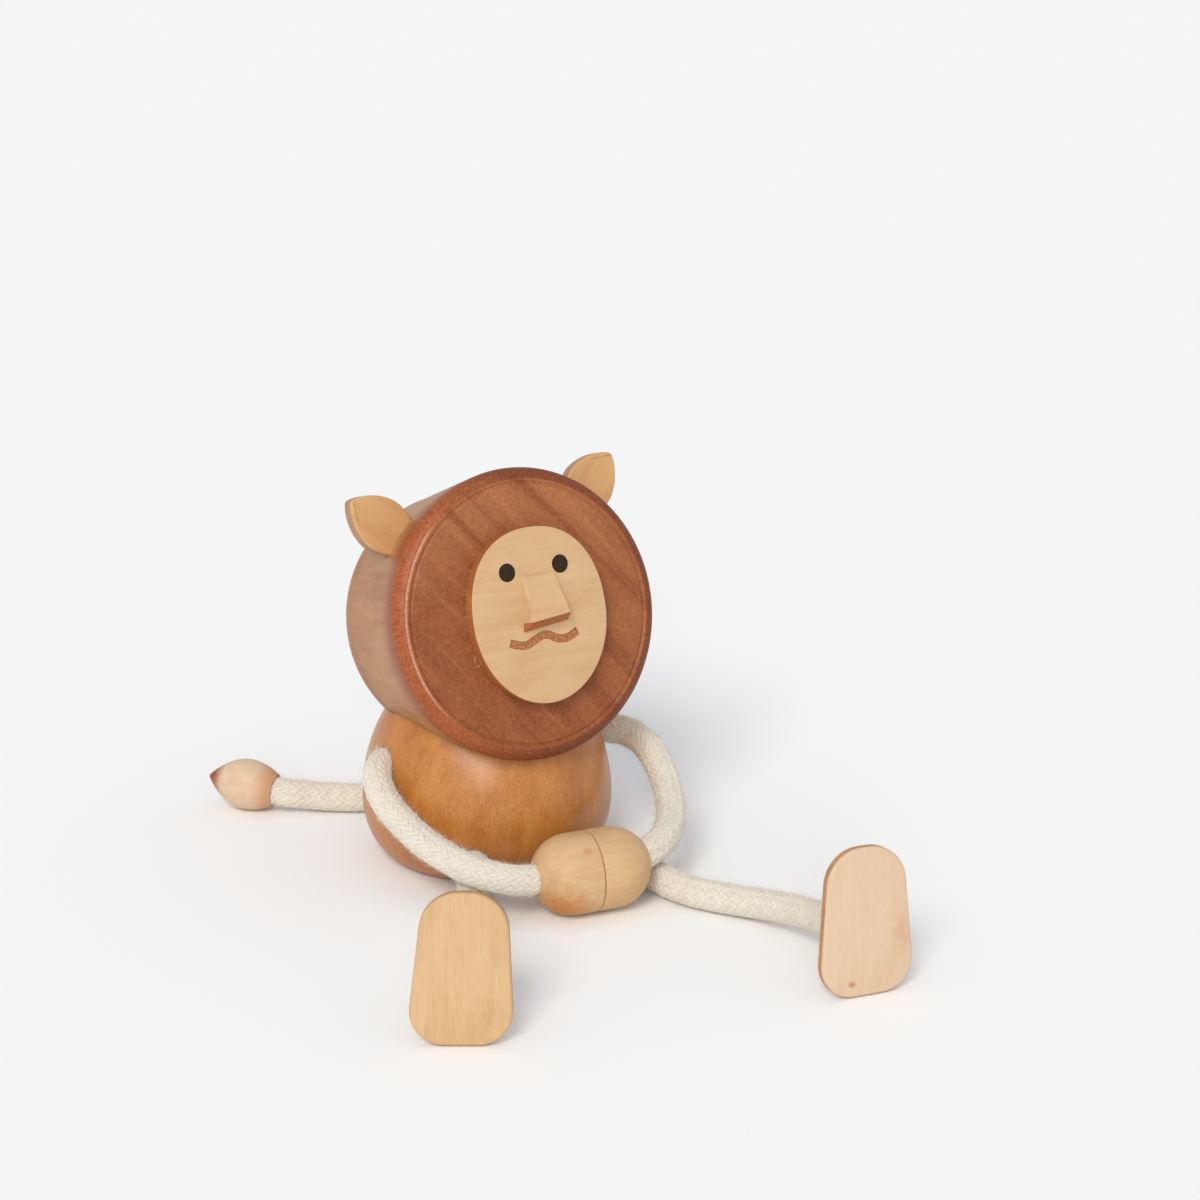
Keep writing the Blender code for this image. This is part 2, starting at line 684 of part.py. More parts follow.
def make_tail_bead(pivot):
    side = []
    for step in range(BEAD_TIP_STEPS + 1):
        share = math.cos(RIGHT_ANGLE * step / BEAD_TIP_STEPS)
        radius = BEAD_RADIUS + (BEAD_TIP_RADIUS - BEAD_RADIUS) * share**BEAD_TAPER
        side.append((radius, BEAD_BELLY + (BEAD_LENGTH - BEAD_BELLY) * share))
    for step in range(1, BEAD_NECK_STEPS + 1):
        share = step / BEAD_NECK_STEPS
        side.append((BEAD_RADIUS + (BEAD_NECK_RADIUS - BEAD_RADIUS) * share**2, BEAD_BELLY * (1 - share)))
    rise, run = math.sin(BEAD_PITCH), math.cos(BEAD_PITCH)
    neck_height = max(radius * run - height * rise for radius, height in side)
    direction = (math.cos(BEAD_HEADING) * run, math.sin(BEAD_HEADING) * run, rise)
    world = aim((*BEAD_NECK_PLACE, neck_height), direction)
    profile = [(0.0, BEAD_LENGTH), *side, (0.0, 0.0)]
    bead = add_part("tail_bead", profile_mesh("tail_bead", profile), PALE, world, pivot)
    turn_on_lathe(bead, SMALL_TURN_STEPS)
    bore_for_rope(bead, "tail_rope", at_end=True)


def bore_mouth(rope_name):
    return ROUTES[rope_name][POINTS_TO_MOUTH - 1]


def make_limbs():
    for side, sign in (("left", -1), ("right", 1)):
        arm, leg = f"arm_rope_{side}", f"leg_rope_{side}"
        shoulder = add_pivot(f"shoulder_{side}", bore_mouth(arm))
        make_rope(arm, shoulder)
        make_hand(f"hand_{side}", sign, arm, shoulder)
        hip = add_pivot(f"hip_{side}", bore_mouth(leg))
        make_rope(leg, hip)
        make_foot(f"foot_{side}", side, leg, hip)
    root = add_pivot("tail_root", bore_mouth("tail_rope"))
    make_rope("tail_rope", root)
    make_tail_bead(root)


HEAD_PIVOT = add_pivot("head_pivot", TORSO_TOP, HEAD_TURN)
HEAD_FRAME = (
    HEAD_PIVOT.matrix_basis
    @ Matrix.Translation((0.0, 0.0, HEAD_RISE))
    @ Matrix.Rotation(RIGHT_ANGLE - HEAD_TILT, 4, "X")
    @ Matrix.Translation((0.0, 0.0, HEAD_DEPTH / 2))
)
FACE_FRONT = HEAD_FRAME @ Matrix.Translation((FACE_SHIFT, -FACE_DROP, SEAT_GAP + FACE_THICKNESS))
NECK_BORE = add_cutter(
    "neck_bore",
    cylinder_mesh(
        "neck_bore", DOWEL_RADIUS + BORE_GAP, -DOWEL_IN_TORSO - SEAT_GAP, DOWEL_IN_HEAD + SEAT_GAP
    ),
    Matrix.Translation(TORSO_TOP),
)

make_torso()
make_neck_dowel()
make_head()
make_face_plate()
make_eyes()
make_nose()
make_ears()
make_limbs()
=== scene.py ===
"""Looks of the seated toy lion: fine turned and cut pieces, braided ropes, wood finishes, light and camera.

Metres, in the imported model's frame. Left and right are the viewer's, looking at the face.
"""

import math
import random

import bpy
import numpy as np
from mathutils import Matrix, Vector


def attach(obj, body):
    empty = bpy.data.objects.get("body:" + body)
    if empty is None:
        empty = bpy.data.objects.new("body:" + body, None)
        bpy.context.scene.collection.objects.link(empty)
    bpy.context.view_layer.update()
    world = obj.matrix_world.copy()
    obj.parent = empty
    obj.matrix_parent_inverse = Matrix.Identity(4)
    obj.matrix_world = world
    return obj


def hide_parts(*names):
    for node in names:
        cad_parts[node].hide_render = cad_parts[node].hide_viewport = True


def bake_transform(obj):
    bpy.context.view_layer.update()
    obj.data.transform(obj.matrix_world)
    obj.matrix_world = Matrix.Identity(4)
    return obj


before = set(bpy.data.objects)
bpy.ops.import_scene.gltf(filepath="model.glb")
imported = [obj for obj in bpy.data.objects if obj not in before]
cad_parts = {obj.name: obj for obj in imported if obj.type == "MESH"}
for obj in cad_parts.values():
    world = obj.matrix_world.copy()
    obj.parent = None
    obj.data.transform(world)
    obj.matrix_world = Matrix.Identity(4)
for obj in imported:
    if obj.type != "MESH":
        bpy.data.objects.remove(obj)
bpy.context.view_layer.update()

# Torso
TORSO_RADIUS = 0.02615
TORSO_BELLY_HEIGHT = 0.0123
TORSO_SEAT_RADIUS = 0.0179
TORSO_CROWN_RISE = 0.0311
TORSO_HEIGHT = 0.0340
TURN_GAP = 0.0004  # between the torso's crown and the head's socket
NECK_BORE_RADIUS = 0.0043
NECK_BORE_REACH = 0.0113  # into the torso and into the head

# Head
HEAD_RIM_RADIUS = 0.0295
HEAD_RIM_ROUND = 0.0027
HEAD_GROOVE = (0.0009, 0.0003)  # width and depth of the tool mark round the flat front
HEAD_GROOVE_FLOOR = (0.6, 0.4)  # its floor's two edges, in shares of its width
HEAD_BACK_RADIUS = 0.0259
HEAD_BACK_ROUND = 0.0101
HEAD_DEPTH = 0.0397
HEAD_RISE = 0.0173
HEAD_TILT = math.radians(16.8)
HEAD_TURN = math.radians(8.0)

# Face. Places are from the plate's middle
FACE_WIDTH = 0.0301
FACE_HEIGHT = 0.0354
FACE_THICKNESS = 0.0031
FACE_SHIFT = 0.0005
FACE_GLUE = 0.0003
FACE_DROP = 0.0004
FACE_TOP_FULLNESS = 2.25
FACE_CHIN_FULLNESS = 2.0
FACE_EDGE = 0.00016
EYE_RADIUS = 0.0018
EYE_SPACING = 0.0121
EYE_HEIGHT = 0.0094
EYE_DEPTH = 0.0022
EYE_GAP = 0.00006
EYE_EDGE = 0.0002
EYE_CROWN = 0.00002
NOSE_SHIFT = 0.0008
NOSE_TOP_HEIGHT = 0.0081
NOSE_LENGTH = 0.0105
NOSE_TOP_WIDTH = 0.0078
NOSE_BASE_WIDTH = 0.0104
NOSE_RIDGE_WIDTH = 0.0090
NOSE_RISE = 0.0034
NOSE_BRIDGE_RISE = 0.0003
NOSE_UNDERSLOPE = 0.0018
NOSE_SKEW = 0.0005  # of the lower edge, down at the left
NOSE_SOFTNESS = 0.00011
NOSE_SUNK = 0.0002
NOSE_FLARE = 1.6  # power of the sides' spread
NOSE_TOP_RIDGE = 0.94  # the ridge's share of the top width
NOSE_RIDGE_OVERRUN = 1.05  # of the ridge's slope, past the lower edge
NOSE_GRID = (72, 56)  # rows and columns
MOUTH_WIDTH = 0.0155
MOUTH_HEIGHT = -0.0041
MOUTH_DIP = 0.0014
MOUTH_WAVES = 0.84
MOUTH_LINE = 0.0017
MOUTH_CUT = 0.0004
MOUTH_WANDER = 0.00004
MOUTH_WANDER_RATES = (9, 14)

# Ears
EAR_LENGTH = 0.0127
EAR_WIDTH = 0.0109
EAR_ROOT_WIDTH = 0.0088
EAR_BELLY = 0.0042
EAR_THICKNESS = 0.0034
EAR_EDGE = 0.00045
EAR_TENON = 0.0040
EAR_SETBACKS = {"left": 0.0102, "right": 0.0088}
EAR_SLOT_GAP = 0.00012
EAR_TIP_POWERS = (1.8, 0.75)
EAR_ANGLES = {"left": math.radians(47.6), "right": math.radians(-45.0)}

# Hands
HAND_RADIUS = 0.00825
HAND_LENGTH = 0.0125
HAND_PALM_EDGE = 0.0003
HANDS_MEET = (0.0074, -0.0384)
PALM_GAP = 0.00014
MAGNET_POCKET = (0.0043, 0.0031)  # radius and depth

# Feet
FOOT_HEIGHT = 0.0284
FOOT_HEEL_WIDTH = 0.0199
FOOT_TOE_WIDTH = 0.0153
FOOT_TOE_SHIFT = 0.0012
FOOT_HEEL_ROUND = 0.0064
FOOT_TOE_ROUND = 0.0073
FOOT_THICKNESS = 0.0026
FOOT_EDGE = 0.0006
FOOT_LEAN = math.radians(9.0)
FOOT_PLACES = {
    "left": ((-0.0380, -0.0854), math.radians(-23.2)),
    "right": ((0.0397, -0.0958), math.radians(-1.3)),
}

# Tail bead
BEAD_LENGTH = 0.0151
BEAD_RADIUS = 0.0055
BEAD_NECK_RADIUS = 0.0036
BEAD_TIP_RADIUS = 0.0004
BEAD_TAPER = 1.95
BEAD_BELLY = 0.0065
BEAD_NECK_PLACE = (-0.0357, 0.0363)
BEAD_HEADING = math.radians(142.5)
BEAD_PITCH = math.radians(7.6)

# Ropes. Each route starts in the torso's bore
ROPE_BORE_RADIUS = 0.0032
LEG_BORE_RADIUS = 0.0035
TORSO_BORE_REACH = 0.019
HAND_BORE_REACH = 0.016
END_BORE_REACH = 0.012  # in the feet and the bead
BORE_STEP = 0.0012
BORE_OVERRUN = 0.3  # past the rope's end, in steps
ROUTES = {
    "arm_left": [
        (-0.0170, 0.0016, 0.0212), (-0.0206, -0.0006, 0.0226), (-0.0239, -0.0034, 0.0235),
        (-0.0262, -0.0065, 0.0229), (-0.0271, -0.0100, 0.0211), (-0.0265, -0.0136, 0.0185),
        (-0.0249, -0.0175, 0.0160), (-0.0226, -0.0219, 0.0135), (-0.0198, -0.0269, 0.0117),
        (-0.0169, -0.0318, 0.0105), (-0.0134, -0.0356, 0.0096), (-0.0094, -0.0377, 0.0088),
        (-0.0053, -0.0384, 0.0084), (-0.0012, -0.0384, 0.0083),
    ],
    "arm_right": [
        (0.0166, 0.0032, 0.0220), (0.0205, 0.0018, 0.0224), (0.0243, 0.0002, 0.0228),
        (0.0278, -0.0019, 0.0230), (0.0308, -0.0049, 0.0225), (0.0327, -0.0090, 0.0209),
        (0.0333, -0.0142, 0.0179), (0.0326, -0.0200, 0.0149), (0.0309, -0.0255, 0.0125),
        (0.0280, -0.0308, 0.0111), (0.0243, -0.0350, 0.0104), (0.0202, -0.0376, 0.0098),
        (0.0160, -0.0386, 0.0092),
    ],
    "leg_left": [
        (-0.0070, -0.0136, 0.0080), (-0.0090, -0.0175, 0.0076), (-0.0109, -0.0214, 0.0070),
        (-0.0128, -0.0254, 0.0056), (-0.0146, -0.0296, 0.0040), (-0.0163, -0.0346, 0.0033),
        (-0.0176, -0.0408, 0.0033), (-0.0198, -0.0480, 0.0033), (-0.0230, -0.0550, 0.0034),
        (-0.0264, -0.0616, 0.0044), (-0.0294, -0.0676, 0.0060), (-0.0320, -0.0726, 0.0075),
        (-0.0342, -0.0770, 0.0087), (-0.0359, -0.0806, 0.0093), (-0.0368, -0.0828, 0.0097),
    ],
    "leg_right": [
        (0.0050, -0.0157, 0.0082), (0.0080, -0.0186, 0.0076), (0.0109, -0.0214, 0.0070),
        (0.0145, -0.0240, 0.0059), (0.0182, -0.0268, 0.0047), (0.0212, -0.0302, 0.0038),
        (0.0229, -0.0346, 0.0034), (0.0239, -0.0392, 0.0033), (0.0258, -0.0440, 0.0033),
        (0.0292, -0.0489, 0.0033), (0.0334, -0.0537, 0.0034), (0.0370, -0.0592, 0.0041),
        (0.0396, -0.0658, 0.0053), (0.0410, -0.0724, 0.0065), (0.0414, -0.0790, 0.0077),
        (0.0409, -0.0852, 0.0087), (0.0401, -0.0900, 0.0093), (0.0397, -0.0930, 0.0097),
    ],
    "tail": [
        (-0.0026, 0.0166, 0.0066), (-0.0052, 0.0199, 0.0060), (-0.0078, 0.0232, 0.0053),
        (-0.0107, 0.0259, 0.0043), (-0.0144, 0.0272, 0.0036), (-0.0184, 0.0284, 0.0033),
        (-0.0224, 0.0301, 0.0033), (-0.0262, 0.0321, 0.0034), (-0.0298, 0.0336, 0.0038),
        (-0.0330, 0.0347, 0.0042), (-0.0361, 0.0366, 0.0047), (-0.0392, 0.0390, 0.0053),
    ],
}
# The way that each rope leaves its bore for good, and a reach along it
SWING_WAYS = {
    "arm_left": ((0.0, -1.0, 0.0), 0.009),
    "arm_right": ((0.0, -1.0, 0.0), 0.009),
    "leg_left": ((0.0, -1.0, 0.0), 0.020),
    "leg_right": ((0.0, -1.0, 0.0), 0.020),
    "tail": ((-0.86, 0.5, 0.0), 0.009),
}

# Braid: strands that wind both ways, each over two and under two
STRANDS = 16  # in each direction, a multiple of 4
YARNS = 2  # side by side in a strand
BRAID_PITCH = 0.0260
BRAID_STEP = 0.0005
BRAID_RADIUS = 0.00268
BRAID_WAVE = 0.00013
STRAND_HALF_THICKNESS = 0.00024
YARN_RIDGE = 0.00007
STRAND_EDGE_DROP = 0.00012
STRAND_WOBBLE = 0.00004
WOBBLE_STEPS = 8
CORE_RADIUS = 0.0024
CORE_SIDES = 12
FIBRES_PER_METRE = 60000
FIBRE_RADIUS = 0.000026
FIBRE_LENGTH = (0.0006, 0.0024)
FIBRE_LIFT = (0.10, 0.70)
FIBRE_RISE = 0.9
FIBRE_SHORTENING = 0.3  # of a fully lifted fibre
FIBRE_SWERVE = 0.7
FIBRE_CURL = 0.5
FIBRE_CURL_RISE = 0.4
FIBRE_TAPER = ((0.0, 1.0), (0.5, 0.8), (1.0, 0.35))  # shares of length and width

# Facets round each turned shape
TORSO_FACETS = 144
HEAD_FACETS = 180
SOCKET_FACETS = 120
HAND_FACETS = 96
BEAD_FACETS = 72
SMALL_FACETS = 48
BORE_FACETS = 40

# Camera and light
CAMERA_PLACE = (-0.19484, -0.51978, 0.23479)
CAMERA_AIM = (0.02812, 0.00549, 0.04938)
CAMERA_LENS = 85.0
CAMERA_NEAR = 0.01
FLOOR_SIZE = 60.0
FLOOR_COLOUR = (0.95, 0.95, 0.95, 1.0)
SUNS = {"key": (-40, 41, 1.45, 22), "front": (-24, 22, 0.55, 16)}  # azimuth, elevation, strength and spread
SUN_TINT = (1.0, 0.965, 0.89)
SKY_TINT = (0.97, 1.0, 1.05, 1.0)
SKY_STRENGTH = 0.61
STUDIO_GAIN = 1.24  # how much brighter the light makes a front than its own colour

# Wood
GRAIN_SLANT = math.radians(-38)  # of the growth bands on the head's ends
ROUGHNESS_SPREAD = 0.22

RIGHT_ANGLE = math.pi / 2
SIDES = {"left": -1, "right": 1}


def tone(red, green, blue):
    """A linear colour that the studio's light brings to these 8-bit display values."""
    linear = []
    for value in (red, green, blue):
        share = value / 255
        shown = share / 12.92 if share <= 0.04045 else ((share + 0.055) / 1.055) ** 2.4
        linear.append(shown / STUDIO_GAIN)
    return (*linear, 1.0)


# Materials


class Graph:
    """A material's node tree, with a short call for each kind of node."""

    def __init__(self, name):
        self.material = bpy.data.materials.new(name)
        self.material.use_nodes = True
        self.tree = self.material.node_tree
        self.shader = self.tree.nodes["Principled BSDF"]
        self.coords = self.tree.nodes.new("ShaderNodeTexCoord").outputs["Object"]

    def feed(self, socket, value):
        if isinstance(value, bpy.types.NodeSocket):
            self.tree.links.new(value, socket)
        else:
            socket.default_value = value

    def fill(self, made, **values):
        """Feed a node's inputs by their names."""
        for key, value in values.items():
            socket = key.replace("_", " ").title().replace("Ior", "IOR")
            self.feed(made.inputs[socket], value)

    def node(self, kind, *values, **settings):
        made = self.tree.nodes.new(kind)
        for key, value in settings.items():
            setattr(made, key, value)
        for socket, value in zip(made.inputs, values):
            if value is not None:
                self.feed(socket, value)
        return made

    def math(self, operation, a, b=0.0, c=0.0):
        return self.node("ShaderNodeMath", a, b, c, operation=operation).outputs[0]

    def vector(self, operation, a, b=(0.0, 0.0, 0.0)):
        return self.node("ShaderNodeVectorMath", a, b, operation=operation).outputs["Vector"]

    def length(self, vector):
        return self.node("ShaderNodeVectorMath", vector, operation="LENGTH").outputs["Value"]

    def product(self, first, *others):
        for other in others:
            first = self.math("MULTIPLY", first, other)
        return first

    def axes(self):
        """The object's X, Y and Z, each by itself."""
        return self.node("ShaderNodeSeparateXYZ", self.coords).outputs

    def turned(self, angle):
        """The object's coordinates turned about its own Z."""
        made = self.node("ShaderNodeVectorRotate", self.coords, rotation_type="Z_AXIS")
        self.fill(made, angle=angle)
        return made.outputs[0]

    def noise(self, sizes, detail=2.0, roughness=0.55, coords=None, shift=0.0):
        """Noise from 0 to 1 whose features have one size, or these along X, Y and Z."""
        scale = tuple(1 / size for size in np.broadcast_to(sizes, 3).tolist())
        scaled = self.vector("MULTIPLY", coords or self.coords, scale)
        moved = self.vector("ADD", scaled, (shift, shift, shift))
        made = self.node("ShaderNodeTexNoise", moved)
        self.fill(made, scale=1.0, detail=detail, roughness=roughness)
        return made.outputs[0]

    def between(self, value, low, high, start=0.0, end=1.0):
        """The value from low to high, eased and clamped to start and end."""
        made = self.node("ShaderNodeMapRange", value, low, high, start, end)
        made.interpolation_type = "SMOOTHSTEP"
        return made.outputs[0]

    def ramp(self, factor, *stops):
        made = self.node("ShaderNodeValToRGB", factor)
        band = made.color_ramp
        while len(band.elements) < len(stops):
            band.elements.new(0.5)
        for element, (place, colour) in zip(band.elements, stops):
            element.position = place
            element.color = colour
        return made.outputs[0]

    def mix(self, factor, a, b):
        made = self.node("ShaderNodeMix", data_type="RGBA")
        for index, value in ((0, factor), (6, a), (7, b)):
            self.feed(made.inputs[index], value)
        return made.outputs[2]

    def tint(self, colour, value, low, high, amount, shade, within=None):
        """The colour, taken towards a shade as the value goes from low to high."""
        share = self.between(value, low, high, 0.0, amount)
        if within:
            share = self.product(within, share)
        return self.mix(share, colour, tone(*shade))

    def bump(self, height, strength, distance):
        made = self.node("ShaderNodeBump")
        self.fill(made, height=height, strength=strength, distance=distance)
        self.set(normal=made.outputs[0])

    def set(self, **values):
        self.fill(self.shader, **values)


def along(axis, across, length):
    """Feature sizes of a streak along one axis."""
    sizes = [across, across, across]
    sizes["XYZ".index(axis)] = length
    return sizes


def wood(
    name, tones, axis, roughness,
    streaks=0.6, blotches=0.6, fine=0.6, dots=0.3, grain=(0.00021, 0.0034), gloss=0.35, edits=(),
):
    """Close-grained wood: blotches, broad streaks and fine fibres along an axis, from dark to pale."""
    graph = Graph(name)
    across, length = grain
    blotch = graph.noise(along(axis, 0.0075, 0.016), 2.0)
    broad = graph.noise(along(axis, 0.0013, 0.024), 3.0, shift=7.0)
    fibre = graph.noise(along(axis, across, length), 3.0, 0.65, shift=3.0)
    pore = graph.noise(along(axis, 0.00016, 0.0011), 1.0, shift=11.0)
    shade = graph.math("MULTIPLY_ADD", blotch, blotches, 0.5 - blotches / 2)
    for part, weight in ((broad, streaks), (fibre, fine)):
        shade = graph.math("MULTIPLY_ADD", part, weight, graph.math("ADD", shade, -weight / 2))
    dark, middle, pale = (tone(*values) for values in tones)
    colour = graph.ramp(shade, (0.12, dark), (0.5, middle), (0.88, pale))
    dotted = graph.between(pore, 0.64, 0.74, 0.0, dots)
    colour = graph.mix(dotted, colour, dark)
    for edit in edits:
        colour = edit(graph, colour)
    rough = graph.math("MULTIPLY_ADD", fibre, ROUGHNESS_SPREAD, roughness - ROUGHNESS_SPREAD / 2)
    graph.set(base_color=colour, roughness=rough, specular_ior_level=gloss)
    graph.bump(graph.math("SUBTRACT", fibre, dotted), strength=0.25, distance=0.00006)
    return graph.material


def end_grain_and_painted_light(graph, colour):
    """Slanting growth bands under a fine hatch of rays on the head's two ends, with painted light paler at
    the top and right.
    """
    turned = graph.turned(GRAIN_SLANT)
    x, y, z = graph.axes()
    bands = graph.noise((0.0034, 0.060, 0.090), 3.0, 0.5, coords=turned, shift=2.0)
    rays = graph.noise((0.0016, 0.00030, 0.0030), 3.0, 0.7, coords=turned, shift=5.0)
    hatch = graph.noise((0.00030, 0.0014, 0.0030), 3.0, 0.7, coords=turned, shift=9.0)
    shaded = colour
    # The first two rows are painted light, paler towards the top and the right; the others are grain
    for change in (
        (y, 0.002, 0.026, 0.42, (206, 138, 90)),
        (x, 0.006, 0.026, 0.25, (198, 128, 82)),
        (bands, 0.48, 0.34, 0.55, (130, 64, 36)),
        (bands, 0.54, 0.68, 0.55, (200, 130, 82)),
        (rays, 0.44, 0.68, 0.40, (206, 134, 84)),
        (hatch, 0.44, 0.68, 0.42, (116, 56, 28)),
    ):
        shaded = graph.tint(shaded, *change)
    ends = graph.math("ADD", graph.between(z, -0.0010, -0.0003), graph.between(z, -0.0370, -0.0390))
    return graph.mix(ends, colour, shaded)


def rim_stain_and_painted_light(graph, colour):
    """Stain on the rounded rim, orange towards the left, painted shade darker elsewhere, and a painted
    highlight on a crest.
    """
    x, y, _ = graph.axes()
    radius = graph.length(graph.node("ShaderNodeCombineXYZ", x, y, 0.0).outputs[0])
    disc = HEAD_RIM_RADIUS - HEAD_RIM_ROUND
    rim = graph.between(radius, disc, disc + 0.0006)
    fleck = graph.noise((0.0005, 0.0005, 0.0009), 3.0, 0.65, shift=2.0)
    # Orange towards the left, painted shade darkening the rest of the rim, then dark and pale flecks
    for change in (
        (x, 0.004, -0.020, 0.6, (192, 102, 54)),
        (x, -0.022, 0.004, 0.75, (120, 58, 30)),
        (fleck, 0.46, 0.64, 0.55, (134, 58, 32)),
        (fleck, 0.44, 0.32, 0.5, (206, 128, 80)),
    ):
        colour = graph.tint(colour, *change, within=rim)
    # Painted highlight: a pale line along the crest between disc and rim at the left
    crest_highlight = graph.product(
        graph.between(radius, disc + 0.0003, disc + 0.0006),
        graph.between(radius, disc + 0.0010, disc + 0.0007),
        graph.between(x, -0.017, -0.021),
        graph.between(y, -0.020, -0.010),
        graph.between(fleck, 0.70, 0.40, 0.35, 0.65),
    )
    return graph.mix(crest_highlight, colour, tone(236, 192, 164))


def bled_stain_and_sheen_edge(graph, colour):
    """The rim's red stain, bled back along the head's flank, and a darker back where the flank's painted
    reflection fades.
    """
    depth = graph.axes()[2]
    ragged = graph.noise((0.0007, 0.0007, 0.0016), 4.0, 0.7, shift=1.0)
    place = graph.math("MULTIPLY_ADD", ragged, 0.0050, depth)
    near = graph.tint(colour, place, -0.0080, -0.0010, 0.95, (162, 86, 48))
    # Darker towards the back, where the painted reflection on the flank ends
    return graph.tint(near, depth, -0.018, -0.036, 0.45, (160, 98, 60))


def glue_scuffs(graph, colour):
    """Pale chips of glue beside the left edge of the face plate."""
    x, y, z = graph.axes()
    across = graph.math("DIVIDE", graph.math("SUBTRACT", x, FACE_SHIFT), FACE_WIDTH / 2)
    up = graph.math("DIVIDE", graph.math("ADD", y, FACE_DROP), FACE_HEIGHT / 2)
    reach = graph.math("ADD", graph.product(across, across), graph.product(up, up))
    near = graph.between(reach, 1.03, 1.14, 0.8, 0.0)
    left = graph.between(x, -0.006, -0.012)
    chips = graph.between(graph.noise((0.0007, 0.0011, 0.001), 3.0, 0.6, shift=4.0), 0.54, 0.66)
    front = graph.between(z, -0.0004, -0.0001)
    return graph.mix(graph.product(near, left, chips, front), colour, tone(208, 160, 126))


def seat_stain_and_shade(graph, colour):
    """Stain and painted shade of the floor contact, gathering towards the torso's seat in uneven bands."""
    height = graph.axes()[2]
    wander = graph.noise((0.006, 0.006, 0.012), 3.0, 0.6, shift=4.0)
    place = graph.math("MULTIPLY_ADD", wander, -0.012, height)
    return graph.tint(colour, place, 0.014, -0.003, 0.3, (146, 74, 36))


def stain(centre, reach, shade, amount):
    """An edit that tints the wood round a place, its border ragged."""

    def edit(graph, colour):
        ragged = graph.noise(0.0015, 3.0, 0.6, shift=6.0)
        away = graph.vector("DIVIDE", graph.vector("SUBTRACT", graph.coords, centre), reach)
        place = graph.math("MULTIPLY_ADD", ragged, 0.8, graph.length(away))
        return graph.tint(colour, place, 1.4, 0.5, amount, shade)

    return edit


def bead_shades(graph, colour):
    """The bead's orange neck and brown point."""
    height = graph.axes()[2]
    wander = graph.noise(0.002, 2.0)
    place = graph.math("MULTIPLY_ADD", wander, 0.0016, height)
    warmed = graph.tint(colour, place, 0.0050, 0.0014, 0.6, (208, 140, 84))
    return graph.tint(warmed, place, BEAD_LENGTH - 0.0036, BEAD_LENGTH - 0.0004, 1.0, (166, 82, 36))


def plain(name, colour, roughness, speckle, size, metallic=0.0):
    """A plain surface with a fine speckle of its own colour."""
    graph = Graph(name)
    grain = graph.noise(size, 3.0, 0.6)
    speckled = graph.tint(tone(*colour), grain, 0.35, 0.65, 1.0, speckle)
    rough = graph.between(grain, 0.3, 0.7, roughness - 0.06, roughness + 0.06)
    graph.set(base_color=speckled, roughness=rough, metallic=metallic, specular_ior_level=0.25)
    graph.bump(grain, strength=0.2, distance=size / 8)
    return graph.material


def cotton(name):
    """Undyed cotton yarn: cream, with a fine twist and a few seed flecks."""
    graph = Graph(name)
    drift = graph.noise(0.006, 2.0)
    hair = graph.noise(0.00022, 3.0, 0.7, shift=5.0)
    seeds = graph.noise(0.0005, 1.0, shift=8.0)
    colour = graph.ramp(drift, (0.3, tone(248, 240, 226)), (0.7, tone(252, 246, 234)))
    colour = graph.tint(colour, hair, 0.7, 0.35, 0.35, (236, 224, 202))
    colour = graph.tint(colour, seeds, 0.72, 0.80, 0.4, (186, 160, 128))
    graph.set(base_color=colour, roughness=0.95, sheen_weight=0.25, sheen_roughness=0.5)
    graph.bump(hair, strength=0.5, distance=0.00008)
    return graph.material


STAINED = wood(
    "stained_maple", ((132, 68, 38), (162, 92, 54), (184, 114, 72)), "Z", 0.46,
    streaks=0.35, fine=0.35, dots=0.12, gloss=0.25, edits=(end_grain_and_painted_light, rim_stain_and_painted_light, glue_scuffs),
)
# The flank's paler tones are a painted reflection of the bright surround on its glossy side
FLANK_STAIN_AND_SHEEN = wood(
    "stained_maple_flank_and_sheen", ((164, 104, 60), (197, 140, 90), (212, 160, 112)), "Z", 0.42,
    blotches=0.8, fine=0.45, dots=0.1, edits=(bled_stain_and_sheen_edge, end_grain_and_painted_light),
)
OILED = wood(
    "oiled_maple", ((174, 98, 38), (208, 134, 60), (230, 164, 88)), "Z", 0.34,
    streaks=0.35, blotches=0.7, fine=0.9, dots=0.12,
    grain=(0.00032, 0.0011), gloss=0.65, edits=(seat_stain_and_shade,),
)
PALE_TONES = ((208, 160, 110), (227, 186, 138), (238, 204, 160))
PINK_TONES = ((224, 186, 146), (236, 204, 172), (244, 218, 190))
ORANGE = (208, 132, 58)
PALE_PLATE = wood("pale_maple_plate", PALE_TONES, "X", 0.52, streaks=0.45, blotches=0.5, fine=0.4)
PALE_EDGE = wood("pale_maple_edge", ((160, 90, 44), (190, 114, 62), (206, 138, 84)), "X", 0.6, blotches=0.8)
SOLE_EDGE = wood("sole_edge", ((180, 124, 80), (206, 154, 108), (222, 176, 130)), "X", 0.6, blotches=0.8)
SOLE_GRAIN = (0.0003, 0.0022)
SOLE_STAINS = (
    stain((-0.0032, 0.0026, 0.0), (0.0012, 0.0009, 0.01), (178, 108, 74), 0.7),
    stain((0.0076, 0.0110, 0.0), (0.0030, 0.0060, 0.01), ORANGE, 0.3),
)
PALE_SOLES = {
    "left": wood("pale_maple_sole_left", PALE_TONES, "Y", 0.55, streaks=0.5, blotches=0.8, grain=SOLE_GRAIN),
    "right": wood(
        "pale_maple_sole_right", PINK_TONES, "Y", 0.55, streaks=0.4, grain=SOLE_GRAIN, edits=SOLE_STAINS
    ),
}
HAND_STAINS = (
    stain((0.0062, -0.0056, 0.0088), (0.0098, 0.0080, 0.0090), ORANGE, 0.95),
    stain((0.0049, 0.0066, 0.0026), (0.0012, 0.0012, 0.0016), ORANGE, 0.5),
)
